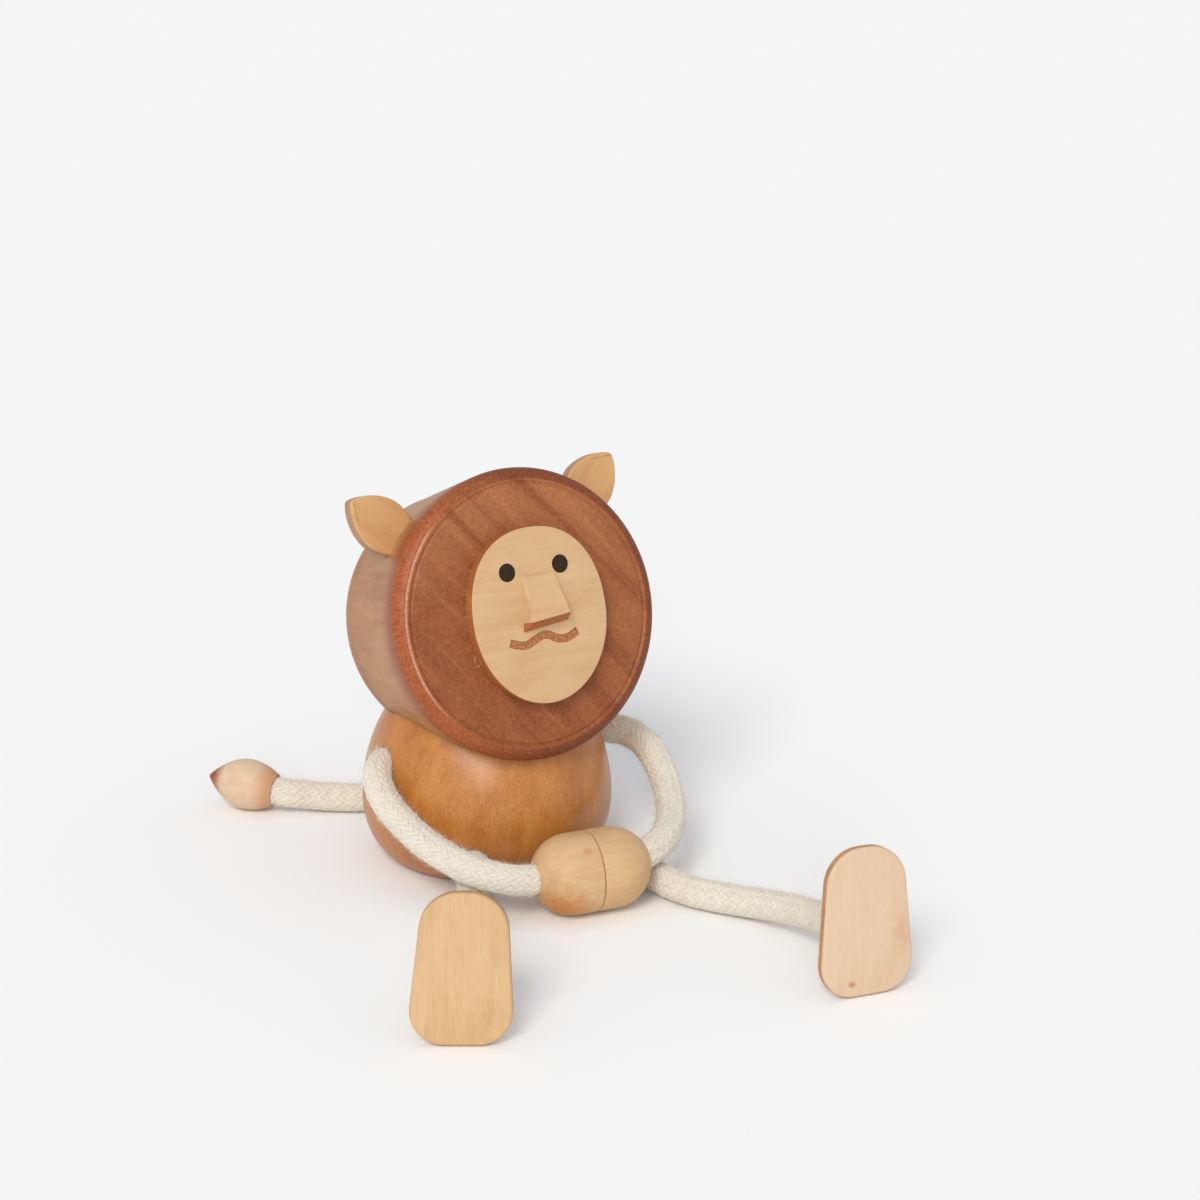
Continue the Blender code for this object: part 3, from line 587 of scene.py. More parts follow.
PALE_HANDS = {
    "left": wood("pale_maple_hand_left", PALE_TONES, "Z", 0.5, edits=HAND_STAINS),
    "right": wood("pale_maple_hand_right", PALE_TONES, "Z", 0.5),
}
PALE_BEAD = wood("pale_maple_bead", PINK_TONES, "Z", 0.45, fine=0.4, edits=(bead_shades,))
TAN_LEAF = wood(
    "tan_maple", ((204, 148, 92), (226, 174, 118), (238, 194, 140)), "Y", 0.45, streaks=0.5, fine=0.4
)
LEAF_EDGE = wood("tan_maple_edge", ((176, 128, 96), (198, 152, 118), (214, 174, 140)), "Y", 0.6)
ENGRAVED = plain("engraved_line", (168, 102, 58), 0.8, (206, 146, 96), 0.00035)
DARK_PLUG = plain("dark_plug", (42, 28, 16), 0.7, (60, 42, 26), 0.0002)
COTTON = cotton("cotton_rope")
DOWEL = wood("dowel_beech", PALE_TONES, "Z", 0.6)
NICKEL = plain("nickel_magnet", (196, 194, 190), 0.3, (206, 205, 202), 0.0003, metallic=1.0)


# Shapes


def arc(centre, radii, start, end, count):
    """Points on a circle or ellipse, angles in degrees from +radius towards +height."""
    across, up = np.broadcast_to(radii, 2)
    angles = np.radians(np.linspace(start, end, count + 1))
    return [(centre[0] + across * math.cos(a), centre[1] + up * math.sin(a)) for a in angles]


def add_object(name, data):
    made = bpy.data.objects.new(name, data)
    bpy.context.scene.collection.objects.link(made)
    return made


def paint(mesh, *materials):
    for material in materials:
        mesh.materials.append(material)


def ring_faces(rings, around, base=0):
    """Quads between rings of points that follow each other."""
    faces = []
    for ring in range(rings - 1):
        first, second = base + ring * around, base + (ring + 1) * around
        for step in range(around):
            after = (step + 1) % around
            faces.append((first + step, first + after, second + after, second + step))
    return faces


def ring_ends(rings, around, base=0):
    """The two faces that close a tube of rings."""
    last = base + (rings - 1) * around
    return [tuple(reversed(range(base, base + around))), tuple(range(last, last + around))]


def mesh_of(name, corners, faces, sharp=40):
    mesh = bpy.data.meshes.new(name)
    mesh.from_pydata([tuple(corner) for corner in corners], [], faces)
    mesh.update()
    mesh.shade_smooth()
    mesh.set_sharp_from_angle(angle=math.radians(sharp))
    return mesh


def lathe(name, profile, steps):
    """A closed turned shape from (radius, height) points, top first, the ends on the axis."""
    corners = [(0.0, 0.0, profile[0][1])]
    for radius, height in profile[1:-1]:
        for step in range(steps):
            angle = 2 * math.pi * step / steps
            corners.append((radius * math.cos(angle), radius * math.sin(angle), height))
    corners.append((0.0, 0.0, profile[-1][1]))
    last = len(corners) - 1
    rings = len(profile) - 2
    faces = []
    for step in range(steps):
        after = (step + 1) % steps
        faces.append((0, 1 + step, 1 + after))
        for ring in range(rings - 1):
            upper, lower = 1 + ring * steps, 1 + (ring + 1) * steps
            faces.append((upper + step, lower + step, lower + after, upper + after))
        low = 1 + (rings - 1) * steps
        faces.append((low + step, last, low + after))
    return mesh_of(name, corners, faces)


def cylinder(name, radius, top, bottom, steps):
    return lathe(name, [(0.0, top), (radius, top), (radius, bottom), (0.0, bottom)], steps)


def plate(name, outline, thickness, edge, side_material=0):
    """A flat plate about z = 0 from a counter-clockwise outline, its edges rounded."""
    points = np.array(outline)
    ahead = np.roll(points, -1, 0) - np.roll(points, 1, 0)
    inward = np.stack([-ahead[:, 1], ahead[:, 0]], 1)
    inward /= np.linalg.norm(inward, axis=1)[:, None]
    rounds = 5
    levels = []
    for step in range(rounds + 1):
        angle = RIGHT_ANGLE * step / rounds
        levels.append((edge * (1 - math.sin(angle)), thickness / 2 - edge * (1 - math.cos(angle))))
    levels += [(inset, -height) for inset, height in reversed(levels)]
    count = len(points)
    corners = [(*(points[i] + inward[i] * inset), height) for inset, height in levels for i in range(count)]
    faces = [tuple(range(count)), tuple(reversed(range((len(levels) - 1) * count, len(levels) * count)))]
    for level in range(len(levels) - 1):
        for i in range(count):
            after = (i + 1) % count
            upper, lower = level * count, (level + 1) * count
            faces.append((upper + i, lower + i, lower + after, upper + after))
    mesh = mesh_of(name, corners, faces)
    for face in mesh.polygons[:2]:
        face.use_smooth = False
    for face in mesh.polygons[2 + rounds * count : -rounds * count]:
        face.material_index = side_material
    return mesh


def carried_frames(points):
    """Tangents, and two sides that are carried along the points without twist."""
    tangents = np.gradient(points, axis=0)
    tangents /= np.linalg.norm(tangents, axis=1)[:, None]
    side = np.cross(tangents[0], (0.0, 0.0, 1.0))
    sides = []
    for tangent in tangents:
        side = side - tangent * (side @ tangent)
        side = side / np.linalg.norm(side)
        sides.append(side)
    sides = np.array(sides)
    return tangents, sides, np.cross(tangents, sides)


def tube(name, points, radius, around, material_index=0):
    """A closed round tube through the points."""
    points = np.array(points)
    _, sides, ups = carried_frames(points)
    corners = []
    for place, side, up in zip(points, sides, ups):
        for step in range(around):
            angle = 2 * math.pi * step / around
            corners.append(place + radius * (side * math.cos(angle) + up * math.sin(angle)))
    rings = len(points)
    mesh = mesh_of(name, corners, ring_ends(rings, around) + ring_faces(rings, around))
    for face in mesh.polygons:
        face.material_index = material_index
    return mesh


def carved(mesh, cutters, materials, sharp=35):
    """The mesh less the cutters, each a mesh and its place in the mesh's own frame."""
    paint(mesh, *materials)
    holder = add_object(mesh.name, mesh)
    tools = []
    for cutter, place in cutters:
        paint(cutter, *materials)
        tool = add_object(cutter.name, cutter)
        tool.matrix_world = place
        tools.append(tool)
        boolean = holder.modifiers.new(tool.name, "BOOLEAN")
        boolean.operation = "DIFFERENCE"
        boolean.solver = "EXACT"
        boolean.object = tool
    bpy.context.view_layer.update()
    evaluated = holder.evaluated_get(bpy.context.evaluated_depsgraph_get())
    result = bpy.data.meshes.new_from_object(evaluated)
    for used in (holder, *tools):
        bpy.data.objects.remove(used, do_unlink=True)
    result.set_sharp_from_angle(angle=math.radians(sharp))
    return result


def add_piece(name, mesh, world, body, slot, *nodes):
    """A finished mesh that rides on a body and stands for the CAD nodes."""
    piece = add_object(name, mesh)
    piece.matrix_world = world
    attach(piece, body)
    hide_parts(*nodes)


def run_along(points):
    """The length of the way to each point."""
    steps = np.linalg.norm(np.diff(points, axis=0), axis=1)
    return np.concatenate([[0.0], np.cumsum(steps)])


def smooth_route(route, spacing, samples=20):
    """Evenly spaced points on a smooth curve through a route's points."""
    route = [np.array(point) for point in route]
    ends = [2 * route[0] - route[1], *route, 2 * route[-1] - route[-2]]
    fine = []
    for before, start, end, after in zip(ends, ends[1:], ends[2:], ends[3:]):
        knots = [0.0]
        for a, b in ((before, start), (start, end), (end, after)):
            knots.append(knots[-1] + math.sqrt(np.linalg.norm(b - a)))
        t0, t1, t2, t3 = knots
        for t in np.linspace(t1, t2, samples, endpoint=False):
            a = before + (start - before) * (t - t0) / (t1 - t0)
            b = start + (end - start) * (t - t1) / (t2 - t1)
            c = end + (after - end) * (t - t2) / (t3 - t2)
            ab = a + (b - a) * (t - t0) / (t2 - t0)
            bc = b + (c - b) * (t - t1) / (t3 - t1)
            fine.append(ab + (bc - ab) * (t - t1) / (t2 - t1))
    fine = np.array([*fine, route[-1]])
    lengths = run_along(fine)
    wanted = np.linspace(0.0, lengths[-1], round(lengths[-1] / spacing) + 1)
    return np.stack([np.interp(wanted, lengths, fine[:, i]) for i in range(3)], 1)


def rope_bore(limb, at_end, reach, radius=ROPE_BORE_RADIUS):
    """A cutter, in the world's frame, for the bore that holds one end of a rope."""
    points = smooth_route(ROUTES[limb], BORE_STEP)
    if at_end:
        points = points[::-1]
    run = points[: round(reach / BORE_STEP)].copy()
    run[0] += (run[0] - run[1]) * BORE_OVERRUN
    return tube(f"{limb}_bore", run, radius, BORE_FACETS)


def raised(height):
    return Matrix.Translation((0.0, 0.0, height))


def aim(place, direction):
    """A frame at a place, its Z along a direction."""
    turn = Vector(direction).to_track_quat("Z", "Y").to_matrix().to_4x4()
    return Matrix.Translation(place) @ turn


HEAD_FRAME = (
    raised(TORSO_HEIGHT)
    @ Matrix.Rotation(HEAD_TURN, 4, "Z")
    @ raised(HEAD_RISE)
    @ Matrix.Rotation(RIGHT_ANGLE - HEAD_TILT, 4, "X")
    @ raised(HEAD_DEPTH / 2)
)
FACE_FRONT = HEAD_FRAME @ Matrix.Translation((FACE_SHIFT, -FACE_DROP, FACE_GLUE + FACE_THICKNESS))
NECK = raised(TORSO_HEIGHT)


def crown_profile(grow):
    """The torso's outline from top to belly, grown by a gap."""
    top = TORSO_HEIGHT + grow
    start = math.degrees(math.asin((top - TORSO_BELLY_HEIGHT) / (TORSO_CROWN_RISE + grow)))
    radii = (TORSO_RADIUS + grow, TORSO_CROWN_RISE + grow)
    return [(0.0, top), *arc((0.0, TORSO_BELLY_HEIGHT), radii, start, 0.0, 40)]


def neck_bore():
    return cylinder("neck_bore", NECK_BORE_RADIUS, NECK_BORE_REACH, -NECK_BORE_REACH, BORE_FACETS)


def make_torso():
    centre = (TORSO_SEAT_RADIUS, TORSO_BELLY_HEIGHT)
    lower = arc(centre, (TORSO_RADIUS - TORSO_SEAT_RADIUS, TORSO_BELLY_HEIGHT), 0.0, -90.0, 24)
    mesh = lathe("turned_torso", crown_profile(0.0) + lower[1:] + [(0.0, 0.0)], TORSO_FACETS)
    cutters = [(neck_bore(), NECK)]
    for limb in ROUTES:
        radius = LEG_BORE_RADIUS if limb.startswith("leg") else ROPE_BORE_RADIUS
        cutters.append((rope_bore(limb, False, TORSO_BORE_REACH, radius), Matrix.Identity(4)))
    mesh = carved(mesh, cutters, [OILED])
    add_piece("turned_torso", mesh, Matrix.Identity(4), "torso", "oiled_maple", "torso")


def head_radius(behind):
    """The drum's radius at a depth behind its front."""
    straight = HEAD_DEPTH - HEAD_RIM_ROUND - HEAD_BACK_ROUND
    return HEAD_RIM_RADIUS + (HEAD_BACK_RADIUS - HEAD_RIM_RADIUS) * (behind - HEAD_RIM_ROUND) / straight


def ear_frame(side):
    middle = EAR_SETBACKS[side] + EAR_THICKNESS / 2
    turn = Matrix.Rotation(EAR_ANGLES[side], 4, "Z")
    return HEAD_FRAME @ turn @ Matrix.Translation((0.0, head_radius(middle), -middle))


def make_head():
    disc = HEAD_RIM_RADIUS - HEAD_RIM_ROUND
    width, depth = HEAD_GROOVE
    groove = [(disc - width, 0.0), *[(disc - width * share, -depth) for share in HEAD_GROOVE_FLOOR]]
    rim = arc((disc, -HEAD_RIM_ROUND), HEAD_RIM_ROUND, 90.0, 0.0, 16)
    centre = (HEAD_BACK_RADIUS - HEAD_BACK_ROUND, HEAD_BACK_ROUND - HEAD_DEPTH)
    back = arc(centre, HEAD_BACK_ROUND, 0.0, -90.0, 24)
    depths = np.linspace(HEAD_RIM_ROUND, HEAD_DEPTH - HEAD_BACK_ROUND, 10)[1:-1]
    flank = [(head_radius(behind), -behind) for behind in depths]
    profile = [(0.0, 0.0), *groove, *rim, *flank, *back, (0.0, -HEAD_DEPTH)]
    mesh = lathe("drum_head", profile, HEAD_FACETS)
    home = HEAD_FRAME.inverted()
    cutters = [
        (lathe("head_socket", crown_profile(TURN_GAP) + [(0.0, 0.0)], SOCKET_FACETS), home),
        (neck_bore(), home @ NECK),
    ]
    half = EAR_THICKNESS / 2 + EAR_SLOT_GAP
    root = EAR_ROOT_WIDTH / 2 + EAR_SLOT_GAP
    slot = [(-root, -EAR_TENON), (root, -EAR_TENON), (root, EAR_LENGTH), (-root, EAR_LENGTH)]
    for side in EAR_ANGLES:
        cutters.append((plate(f"ear_slot_{side}", slot, 2 * half, 0.0), home @ ear_frame(side)))
    for face in mesh.polygons:
        face.material_index = int(face.center.z < -HEAD_RIM_ROUND)
    mesh = carved(mesh, cutters, [STAINED, FLANK_STAIN_AND_SHEEN])
    add_piece("drum_head", mesh, HEAD_FRAME, "head", "stained_maple", "head")


def ear_outline():
    root, half = EAR_ROOT_WIDTH / 2, EAR_WIDTH / 2
    right = [(root, -EAR_TENON * share) for share in (0.95, 0.5)]
    for share in np.linspace(0.0, 1.0, 12, endpoint=False):
        right.append((root + (half - root) * math.sin(RIGHT_ANGLE * share), EAR_BELLY * share))
    power, bluntness = EAR_TIP_POWERS
    for turn in np.linspace(0.0, 1.0, 36, endpoint=False):
        share = math.sin(RIGHT_ANGLE * turn)
        width = half * (1 - share**power) ** bluntness
        right.append((width, EAR_BELLY + (EAR_LENGTH - EAR_BELLY) * share))
    return [*right, (0.0, EAR_LENGTH), *[(-x, y) for x, y in reversed(right)]]


def make_ears():
    for side in EAR_ANGLES:
        mesh = plate(f"leaf_ear_{side}", ear_outline(), EAR_THICKNESS, EAR_EDGE, side_material=1)
        paint(mesh, TAN_LEAF, LEAF_EDGE)
        add_piece(f"leaf_ear_{side}", mesh, ear_frame(side), "head", "tan_maple", f"ear_{side}")


def face_outline():
    points = []
    for angle in np.linspace(0.0, 2 * math.pi, 160, endpoint=False):
        across, up = math.cos(angle), math.sin(angle)
        power = 2 / (FACE_TOP_FULLNESS if up > 0 else FACE_CHIN_FULLNESS)
        x = math.copysign(abs(across) ** power, across) * FACE_WIDTH / 2
        y = math.copysign(abs(up) ** power, up) * FACE_HEIGHT / 2
        points.append((x, y))
    return points


def mouth_cutter():
    """A tube along the mouth's wave that wanders a little, as a hand-guided cutter does."""
    radius = (MOUTH_LINE**2 / 4 + MOUTH_CUT**2) / (2 * MOUTH_CUT)
    slow, quick = MOUTH_WANDER_RATES
    points = []
    for share in np.linspace(-1.0, 1.0, 60):
        dip = MOUTH_DIP * (1 - math.cos(2 * math.pi * MOUTH_WAVES * share)) / 2
        sway = MOUTH_WANDER * (math.sin(slow * share + 1) + math.sin(quick * share))
        points.append((MOUTH_WIDTH / 2 * share, MOUTH_HEIGHT - dip + sway, radius - MOUTH_CUT))
    return tube("mouth_cutter", points, radius, SMALL_FACETS, material_index=1)


def eye_place(sign):
    return Matrix.Translation((sign * EYE_SPACING / 2, EYE_HEIGHT, 0.0))


def make_face_plate():
    mesh = plate("oval_face", face_outline(), FACE_THICKNESS, FACE_EDGE, side_material=2)
    up = raised(FACE_THICKNESS / 2)
    cutters = [(mouth_cutter(), up)]
    for sign in SIDES.values():
        hole = cylinder("eye_hole", EYE_RADIUS + EYE_GAP, FACE_THICKNESS, -EYE_DEPTH, SMALL_FACETS)
        cutters.append((hole, up @ eye_place(sign)))
    mesh = carved(mesh, cutters, [PALE_PLATE, ENGRAVED, PALE_EDGE])
    middle = FACE_FRONT @ raised(-FACE_THICKNESS / 2)
    add_piece("oval_face", mesh, middle, "head", "pale_maple", "face_plate")


def make_eyes():
    rim = arc((EYE_RADIUS - EYE_EDGE, -EYE_EDGE), EYE_EDGE, 90.0, 0.0, 5)
    bottom = -EYE_DEPTH + EYE_EDGE
    for side, sign in SIDES.items():
        profile = [(0.0, EYE_CROWN), *rim, (EYE_RADIUS, bottom), (0.0, bottom)]
        mesh = lathe(f"plug_eye_{side}", profile, SMALL_FACETS)
        paint(mesh, DARK_PLUG)
        add_piece(f"plug_eye_{side}", mesh, FACE_FRONT @ eye_place(sign), "head", "dark_plug", f"eye_{side}")


def make_nose():
    """A wedge with soft edges: its ridge, two flared sides and underside meet in a rounded minimum."""
    rows, columns = NOSE_GRID
    under = 1 - NOSE_UNDERSLOPE / NOSE_LENGTH
    ridge_top = NOSE_TOP_WIDTH * NOSE_TOP_RIDGE
    corners = []
    for down in np.linspace(0.0, 1.0, rows + 1):
        flare = down**NOSE_FLARE
        half = (NOSE_TOP_WIDTH + (NOSE_BASE_WIDTH - NOSE_TOP_WIDTH) * flare) / 2
        ridge_half = (ridge_top + (NOSE_RIDGE_WIDTH - ridge_top) * flare) / 2
        ridge = NOSE_BRIDGE_RISE + (NOSE_RISE - NOSE_BRIDGE_RISE) * min(down / under, NOSE_RIDGE_OVERRUN)
        below = NOSE_RISE * (1 - down) / (1 - under)
        for across in np.linspace(-1.0, 1.0, columns + 1):
            side = (1 - abs(across)) * half * ridge / (half - ridge_half)
            levels = np.array([ridge, side, below])
            height = -NOSE_SOFTNESS * math.log(np.exp(-levels / NOSE_SOFTNESS).sum())
            reach = down * (NOSE_LENGTH - NOSE_SKEW * across)
            corners.append((across * half, NOSE_TOP_HEIGHT - reach, max(height, -NOSE_SUNK)))
    wide = columns + 1
    border = (
        list(range(wide))
        + [row * wide + columns for row in range(1, rows + 1)]
        + [rows * wide + column for column in range(columns - 1, -1, -1)]
        + [row * wide for row in range(rows - 1, 0, -1)]
    )
    faces = []
    for row in range(rows):
        for column in range(columns):
            first, second = row * wide + column, (row + 1) * wide + column
            faces.append((first, second, second + 1, first + 1))
    base = len(corners)
    corners += [(corners[i][0], corners[i][1], -2 * NOSE_SUNK) for i in border]
    for index in range(len(border)):
        after = (index + 1) % len(border)
        faces.append((border[index], border[after], base + after, base + index))
    faces.append(tuple(range(base, base + len(border))))
    mesh = mesh_of("wedge_nose", corners, faces, sharp=60)
    paint(mesh, PALE_PLATE, PALE_EDGE)
    for face in mesh.polygons[: rows * columns]:
        face.material_index = int(face.index // columns >= under * rows)
    world = FACE_FRONT @ Matrix.Translation((NOSE_SHIFT, 0.0, 0.0))
    add_piece("wedge_nose", mesh, world, "head", "pale_maple", "nose")


def make_hands():
    dome = arc((0.0, HAND_LENGTH - HAND_RADIUS), HAND_RADIUS, 90.0, 0.0, 32)
    palm = arc((HAND_RADIUS - HAND_PALM_EDGE, HAND_PALM_EDGE), HAND_PALM_EDGE, 0.0, -90.0, 5)
    for side, sign in SIDES.items():
        place = (HANDS_MEET[0] + sign * PALM_GAP / 2, HANDS_MEET[1], HAND_RADIUS)
        world = aim(place, (sign, 0.0, 0.0))
        mesh = lathe(f"half_hand_{side}", [*dome, *palm, (0.0, 0.0)], HAND_FACETS)
        body = f"arm_{side}"
        radius, depth = MAGNET_POCKET
        cutters = [
            (rope_bore(body, True, HAND_BORE_REACH), world.inverted()),
            (cylinder("magnet_pocket", radius, depth, -depth, SMALL_FACETS), Matrix.Identity(4)),
        ]
        mesh = carved(mesh, cutters, [PALE_HANDS[side]])
        add_piece(f"half_hand_{side}", mesh, world, body, "pale_maple", f"hand_{side}")


def rounded_outline(corners, steps=14):
    """A closed outline with each (x, y, radius) corner turned into an arc."""
    points = []
    for index, (x, y, radius) in enumerate(corners):
        corner = Vector((x, y))
        before = (Vector(corners[index - 1][:2]) - corner).normalized()
        after = (Vector(corners[(index + 1) % len(corners)][:2]) - corner).normalized()
        half = before.angle(after) / 2
        centre = corner + (before + after).normalized() * radius / math.sin(half)
        start = corner + before * radius / math.tan(half) - centre
        sweep = math.pi - 2 * half
        if before.cross(after) > 0:
            sweep = -sweep
        for step in range(steps + 1):
            turned = start.copy()
            turned.rotate(Matrix.Rotation(sweep * step / steps, 2))
            points.append(tuple(centre + turned))
    return points


def make_feet():
    heel, toe = FOOT_HEEL_WIDTH / 2, FOOT_TOE_WIDTH / 2
    corners = [
        (-heel, 0.0, FOOT_HEEL_ROUND),
        (heel, 0.0, FOOT_HEEL_ROUND),
        (FOOT_TOE_SHIFT + toe, FOOT_HEIGHT, FOOT_TOE_ROUND),
        (FOOT_TOE_SHIFT - toe, FOOT_HEIGHT, FOOT_TOE_ROUND),
    ]
    outline = rounded_outline(corners)
    heel_rise = (FOOT_THICKNESS - FOOT_EDGE) * math.sin(FOOT_LEAN)
    for side, ((x, y), heading) in FOOT_PLACES.items():
        world = (
            Matrix.Translation((x, y, heel_rise))
            @ Matrix.Rotation(heading, 4, "Z")
            @ Matrix.Rotation(RIGHT_ANGLE - FOOT_LEAN, 4, "X")
            @ raised(-FOOT_THICKNESS / 2)
        )
        mesh = plate(f"sole_{side}", outline, FOOT_THICKNESS, FOOT_EDGE, side_material=1)
        body = f"leg_{side}"
        bore = rope_bore(body, True, END_BORE_REACH)
        mesh = carved(mesh, [(bore, world.inverted())], [PALE_SOLES[side], SOLE_EDGE])
        add_piece(f"sole_{side}", mesh, world, body, "pale_maple", f"foot_{side}")


def make_bead():
    side = []
    for turn in np.linspace(0.0, RIGHT_ANGLE, 37):
        share = math.cos(turn)
        radius = BEAD_RADIUS + (BEAD_TIP_RADIUS - BEAD_RADIUS) * share**BEAD_TAPER
        side.append((radius, BEAD_BELLY + (BEAD_LENGTH - BEAD_BELLY) * share))
    for share in np.linspace(0.0, 1.0, 16)[1:]:
        side.append((BEAD_RADIUS + (BEAD_NECK_RADIUS - BEAD_RADIUS) * share**2, BEAD_BELLY * (1 - share)))
    rise, run = math.sin(BEAD_PITCH), math.cos(BEAD_PITCH)
    neck_height = max(radius * run - height * rise for radius, height in side)
    direction = (math.cos(BEAD_HEADING) * run, math.sin(BEAD_HEADING) * run, rise)
    world = aim((*BEAD_NECK_PLACE, neck_height), direction)
    mesh = lathe("acorn_bead", [(0.0, BEAD_LENGTH), *side, (0.0, 0.0)], BEAD_FACETS)
    mesh = carved(mesh, [(rope_bore("tail", True, END_BORE_REACH), world.inverted())], [PALE_BEAD])
    add_piece("acorn_bead", mesh, world, "tail", "pale_maple", "tail_bead")


# Braided ropes


def braid_ribbon(run, turn, strand, wobble):
    """Angles and radii of one strand's ring of points at each place along the rope."""
    across = 2 * YARNS + 1
    share = np.linspace(-0.5, 0.5, across)
    spread = share * 2 * math.pi / STRANDS
    middle = turn * 2 * math.pi * run / BRAID_PITCH + 2 * math.pi * strand / STRANDS
    lap = 2 * strand + turn * 2 * STRANDS * run / BRAID_PITCH
    lap = lap[:, None] + share[None, :]
    wave = turn * np.cos(RIGHT_ANGLE * (lap - 0.5))
    ridge = np.where(np.arange(across) % 2, YARN_RIDGE, 0.0) - STRAND_EDGE_DROP * np.abs(2 * share) ** 4
    top = BRAID_RADIUS + BRAID_WAVE * wave + STRAND_HALF_THICKNESS + ridge + wobble[:, None]
    low = BRAID_RADIUS + BRAID_WAVE * wave[:, [-1, 0]] - STRAND_HALF_THICKNESS - STRAND_EDGE_DROP
    angles = np.concatenate([spread, spread[[-1, 0]]])[None, :] + middle[:, None]
    return angles, np.concatenate([top, low], 1)


def fibre_shapes(points, tangents, sides, ups, seed, base):
    """Corners and faces of the short fibres that stand off the yarn."""
    draw = random.Random(seed)
    count = round(len(points) * BRAID_STEP * FIBRES_PER_METRE)
    corners, faces = [], []
    for _ in range(count):
        at = draw.randrange(len(points))
        angle = draw.uniform(0.0, 2 * math.pi)
        out = sides[at] * math.cos(angle) + ups[at] * math.sin(angle)
        round_way = np.cross(tangents[at], out)
        lean = draw.uniform(-1.0, 1.0)
        flow = tangents[at] * lean + round_way * draw.uniform(-FIBRE_SWERVE, FIBRE_SWERVE)
        flow /= np.linalg.norm(flow) + 1e-9
        length = draw.uniform(*FIBRE_LENGTH)
        lift = draw.uniform(*FIBRE_LIFT)
        curl = draw.uniform(-FIBRE_CURL, FIBRE_CURL)
        start = points[at] + out * (BRAID_RADIUS + STRAND_HALF_THICKNESS)
        first = base + len(corners)
        for share, width in FIBRE_TAPER:
            bend = lift * share + curl * share * share * FIBRE_CURL_RISE
            along_flow = flow * share * (1 - FIBRE_SHORTENING * lift)
            middle = start + length * (along_flow + out * bend * FIBRE_RISE)
            middle[2] = max(middle[2], 2 * FIBRE_RADIUS)
            # Three corners, a third of a turn apart
            for way in (out, -0.5 * out + 0.87 * round_way, -0.5 * out - 0.87 * round_way):
                corners.append(middle + way * FIBRE_RADIUS * width)
        faces += ring_faces(len(FIBRE_TAPER), 3, first) + ring_ends(len(FIBRE_TAPER), 3, first)
    return corners, faces


def braid_mesh(name, points, seed):
    """Strands wound both ways round a core, with loose fibres."""
    tangents, sides, ups = carried_frames(points)
    run = run_along(points)
    draw = np.random.default_rng(seed)
    corners, faces = [], []

    def add_rings(rings):
        """Close a tube of rings, shaped (places, around, 3)."""
        places, around, _ = rings.shape
        base = len(corners)
        corners.extend(rings.reshape(-1, 3))
        faces.extend(ring_faces(places, around, base) + ring_ends(places, around, base))

    def rings_at(angles, radii):
        outward = sides[:, None, :] * np.cos(angles)[..., None] + ups[:, None, :] * np.sin(angles)[..., None]
        return points[:, None, :] + outward * radii[..., None]

    for turn in (1, -1):
        for strand in range(STRANDS):
            knots = draw.normal(0.0, STRAND_WOBBLE, len(run) // WOBBLE_STEPS + 2)
            wobble = np.interp(np.arange(len(run)) / WOBBLE_STEPS, np.arange(len(knots)), knots)
            add_rings(rings_at(*braid_ribbon(run, turn, strand, wobble)))
    core = np.linspace(0.0, 2 * math.pi, CORE_SIDES, endpoint=False)[None, :].repeat(len(run), 0)
    add_rings(rings_at(core, np.full(core.shape, CORE_RADIUS)))
    fibres, fibre_faces = fibre_shapes(points, tangents, sides, ups, seed, len(corners))
    return mesh_of(name, corners + fibres, faces + fibre_faces, sharp=80)


def make_ropes():
    for seed, (limb, route) in enumerate(ROUTES.items(), start=1):
        points = smooth_route(route, BRAID_STEP)
        mesh = braid_mesh(f"braid_{limb}", points, seed)
        paint(mesh, COTTON)
        piece = add_object(f"braid_{limb}", mesh)
        node = "tail_rope" if limb == "tail" else limb.replace("_", "_rope_")
        way, reach = SWING_WAYS[limb]
        way = Vector(way)
        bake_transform(piece)
        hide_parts(node)


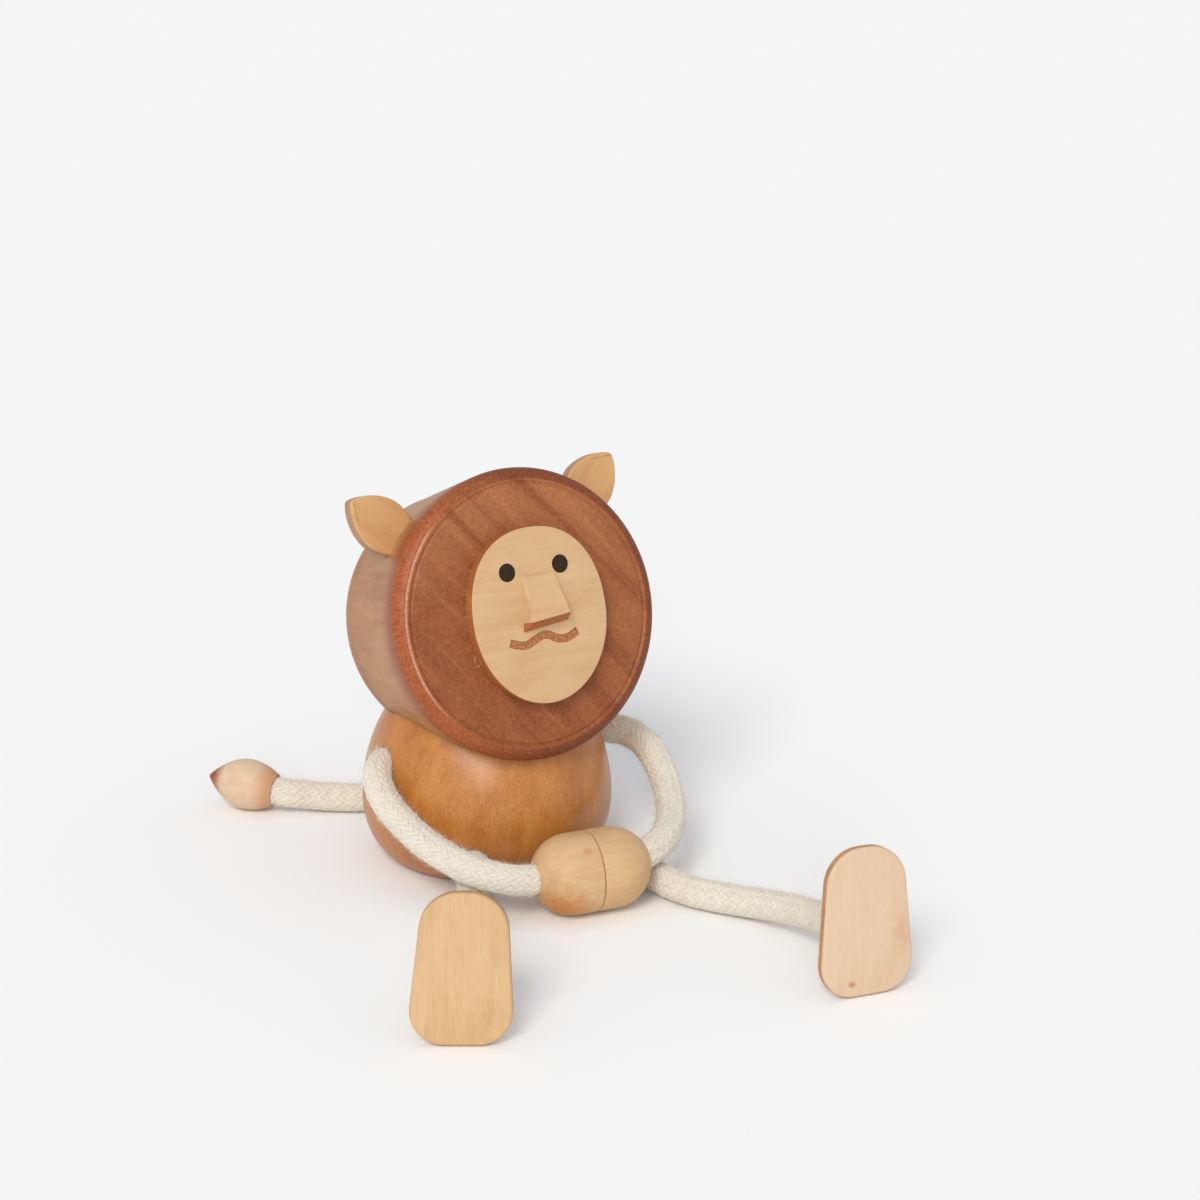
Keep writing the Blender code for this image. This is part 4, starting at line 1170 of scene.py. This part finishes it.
def dress_hidden_nodes():
    """Finishes for the CAD nodes that stay as they are."""
    finishes = {"neck_dowel": DOWEL, "hand_magnet_left": NICKEL, "hand_magnet_right": NICKEL}
    for node, material in finishes.items():
        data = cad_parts[node].data
        data.materials.clear()
        paint(data, material)


# Floor, light and camera


def make_floor():
    half = FLOOR_SIZE / 2
    mesh = bpy.data.meshes.new("floor")
    corners = [(-half, -half, 0), (half, -half, 0), (half, half, 0), (-half, half, 0)]
    mesh.from_pydata(corners, [], [(0, 1, 2, 3)])
    floor = add_object("floor", mesh)
    graph = Graph("pale_floor")
    graph.set(base_color=FLOOR_COLOUR, roughness=1.0, specular_ior_level=0.0)
    paint(mesh, graph.material)


def add_sun(name, azimuth, elevation, strength, spread):
    """A soft, slightly warm distant lamp. Azimuth 0 shines from -Y and 90 from +X."""
    turn, rise = math.radians(azimuth), math.radians(elevation)
    towards = Vector((math.sin(turn) * math.cos(rise), -math.cos(turn) * math.cos(rise), math.sin(rise)))
    data = bpy.data.lights.new(name, "SUN")
    data.energy = strength
    data.color = SUN_TINT
    data.angle = math.radians(spread)
    lamp = add_object(name, data)
    lamp.rotation_mode = "QUATERNION"
    lamp.rotation_quaternion = (-towards).to_track_quat("-Z", "Y")


def make_light():
    world = bpy.data.worlds.new("studio")
    bpy.context.scene.world = world
    world.use_nodes = True
    sky = world.node_tree.nodes["Background"]
    sky.inputs["Color"].default_value = SKY_TINT
    sky.inputs["Strength"].default_value = SKY_STRENGTH
    for name, settings in SUNS.items():
        add_sun(name, *settings)


def make_camera():
    data = bpy.data.cameras.new("camera")
    data.lens = CAMERA_LENS
    data.clip_start = CAMERA_NEAR
    camera = add_object("camera", data)
    camera.location = CAMERA_PLACE
    way = Vector(CAMERA_AIM) - Vector(CAMERA_PLACE)
    camera.rotation_euler = way.to_track_quat("-Z", "Y").to_euler()
    bpy.context.scene.camera = camera


make_camera()
make_ropes()
make_torso()
make_head()
make_ears()
make_face_plate()
make_eyes()
make_nose()
make_hands()
make_feet()
make_bead()
dress_hidden_nodes()
make_floor()
make_light()
bpy.context.scene.view_settings.view_transform = "Standard"

bpy.context.view_layer.update()
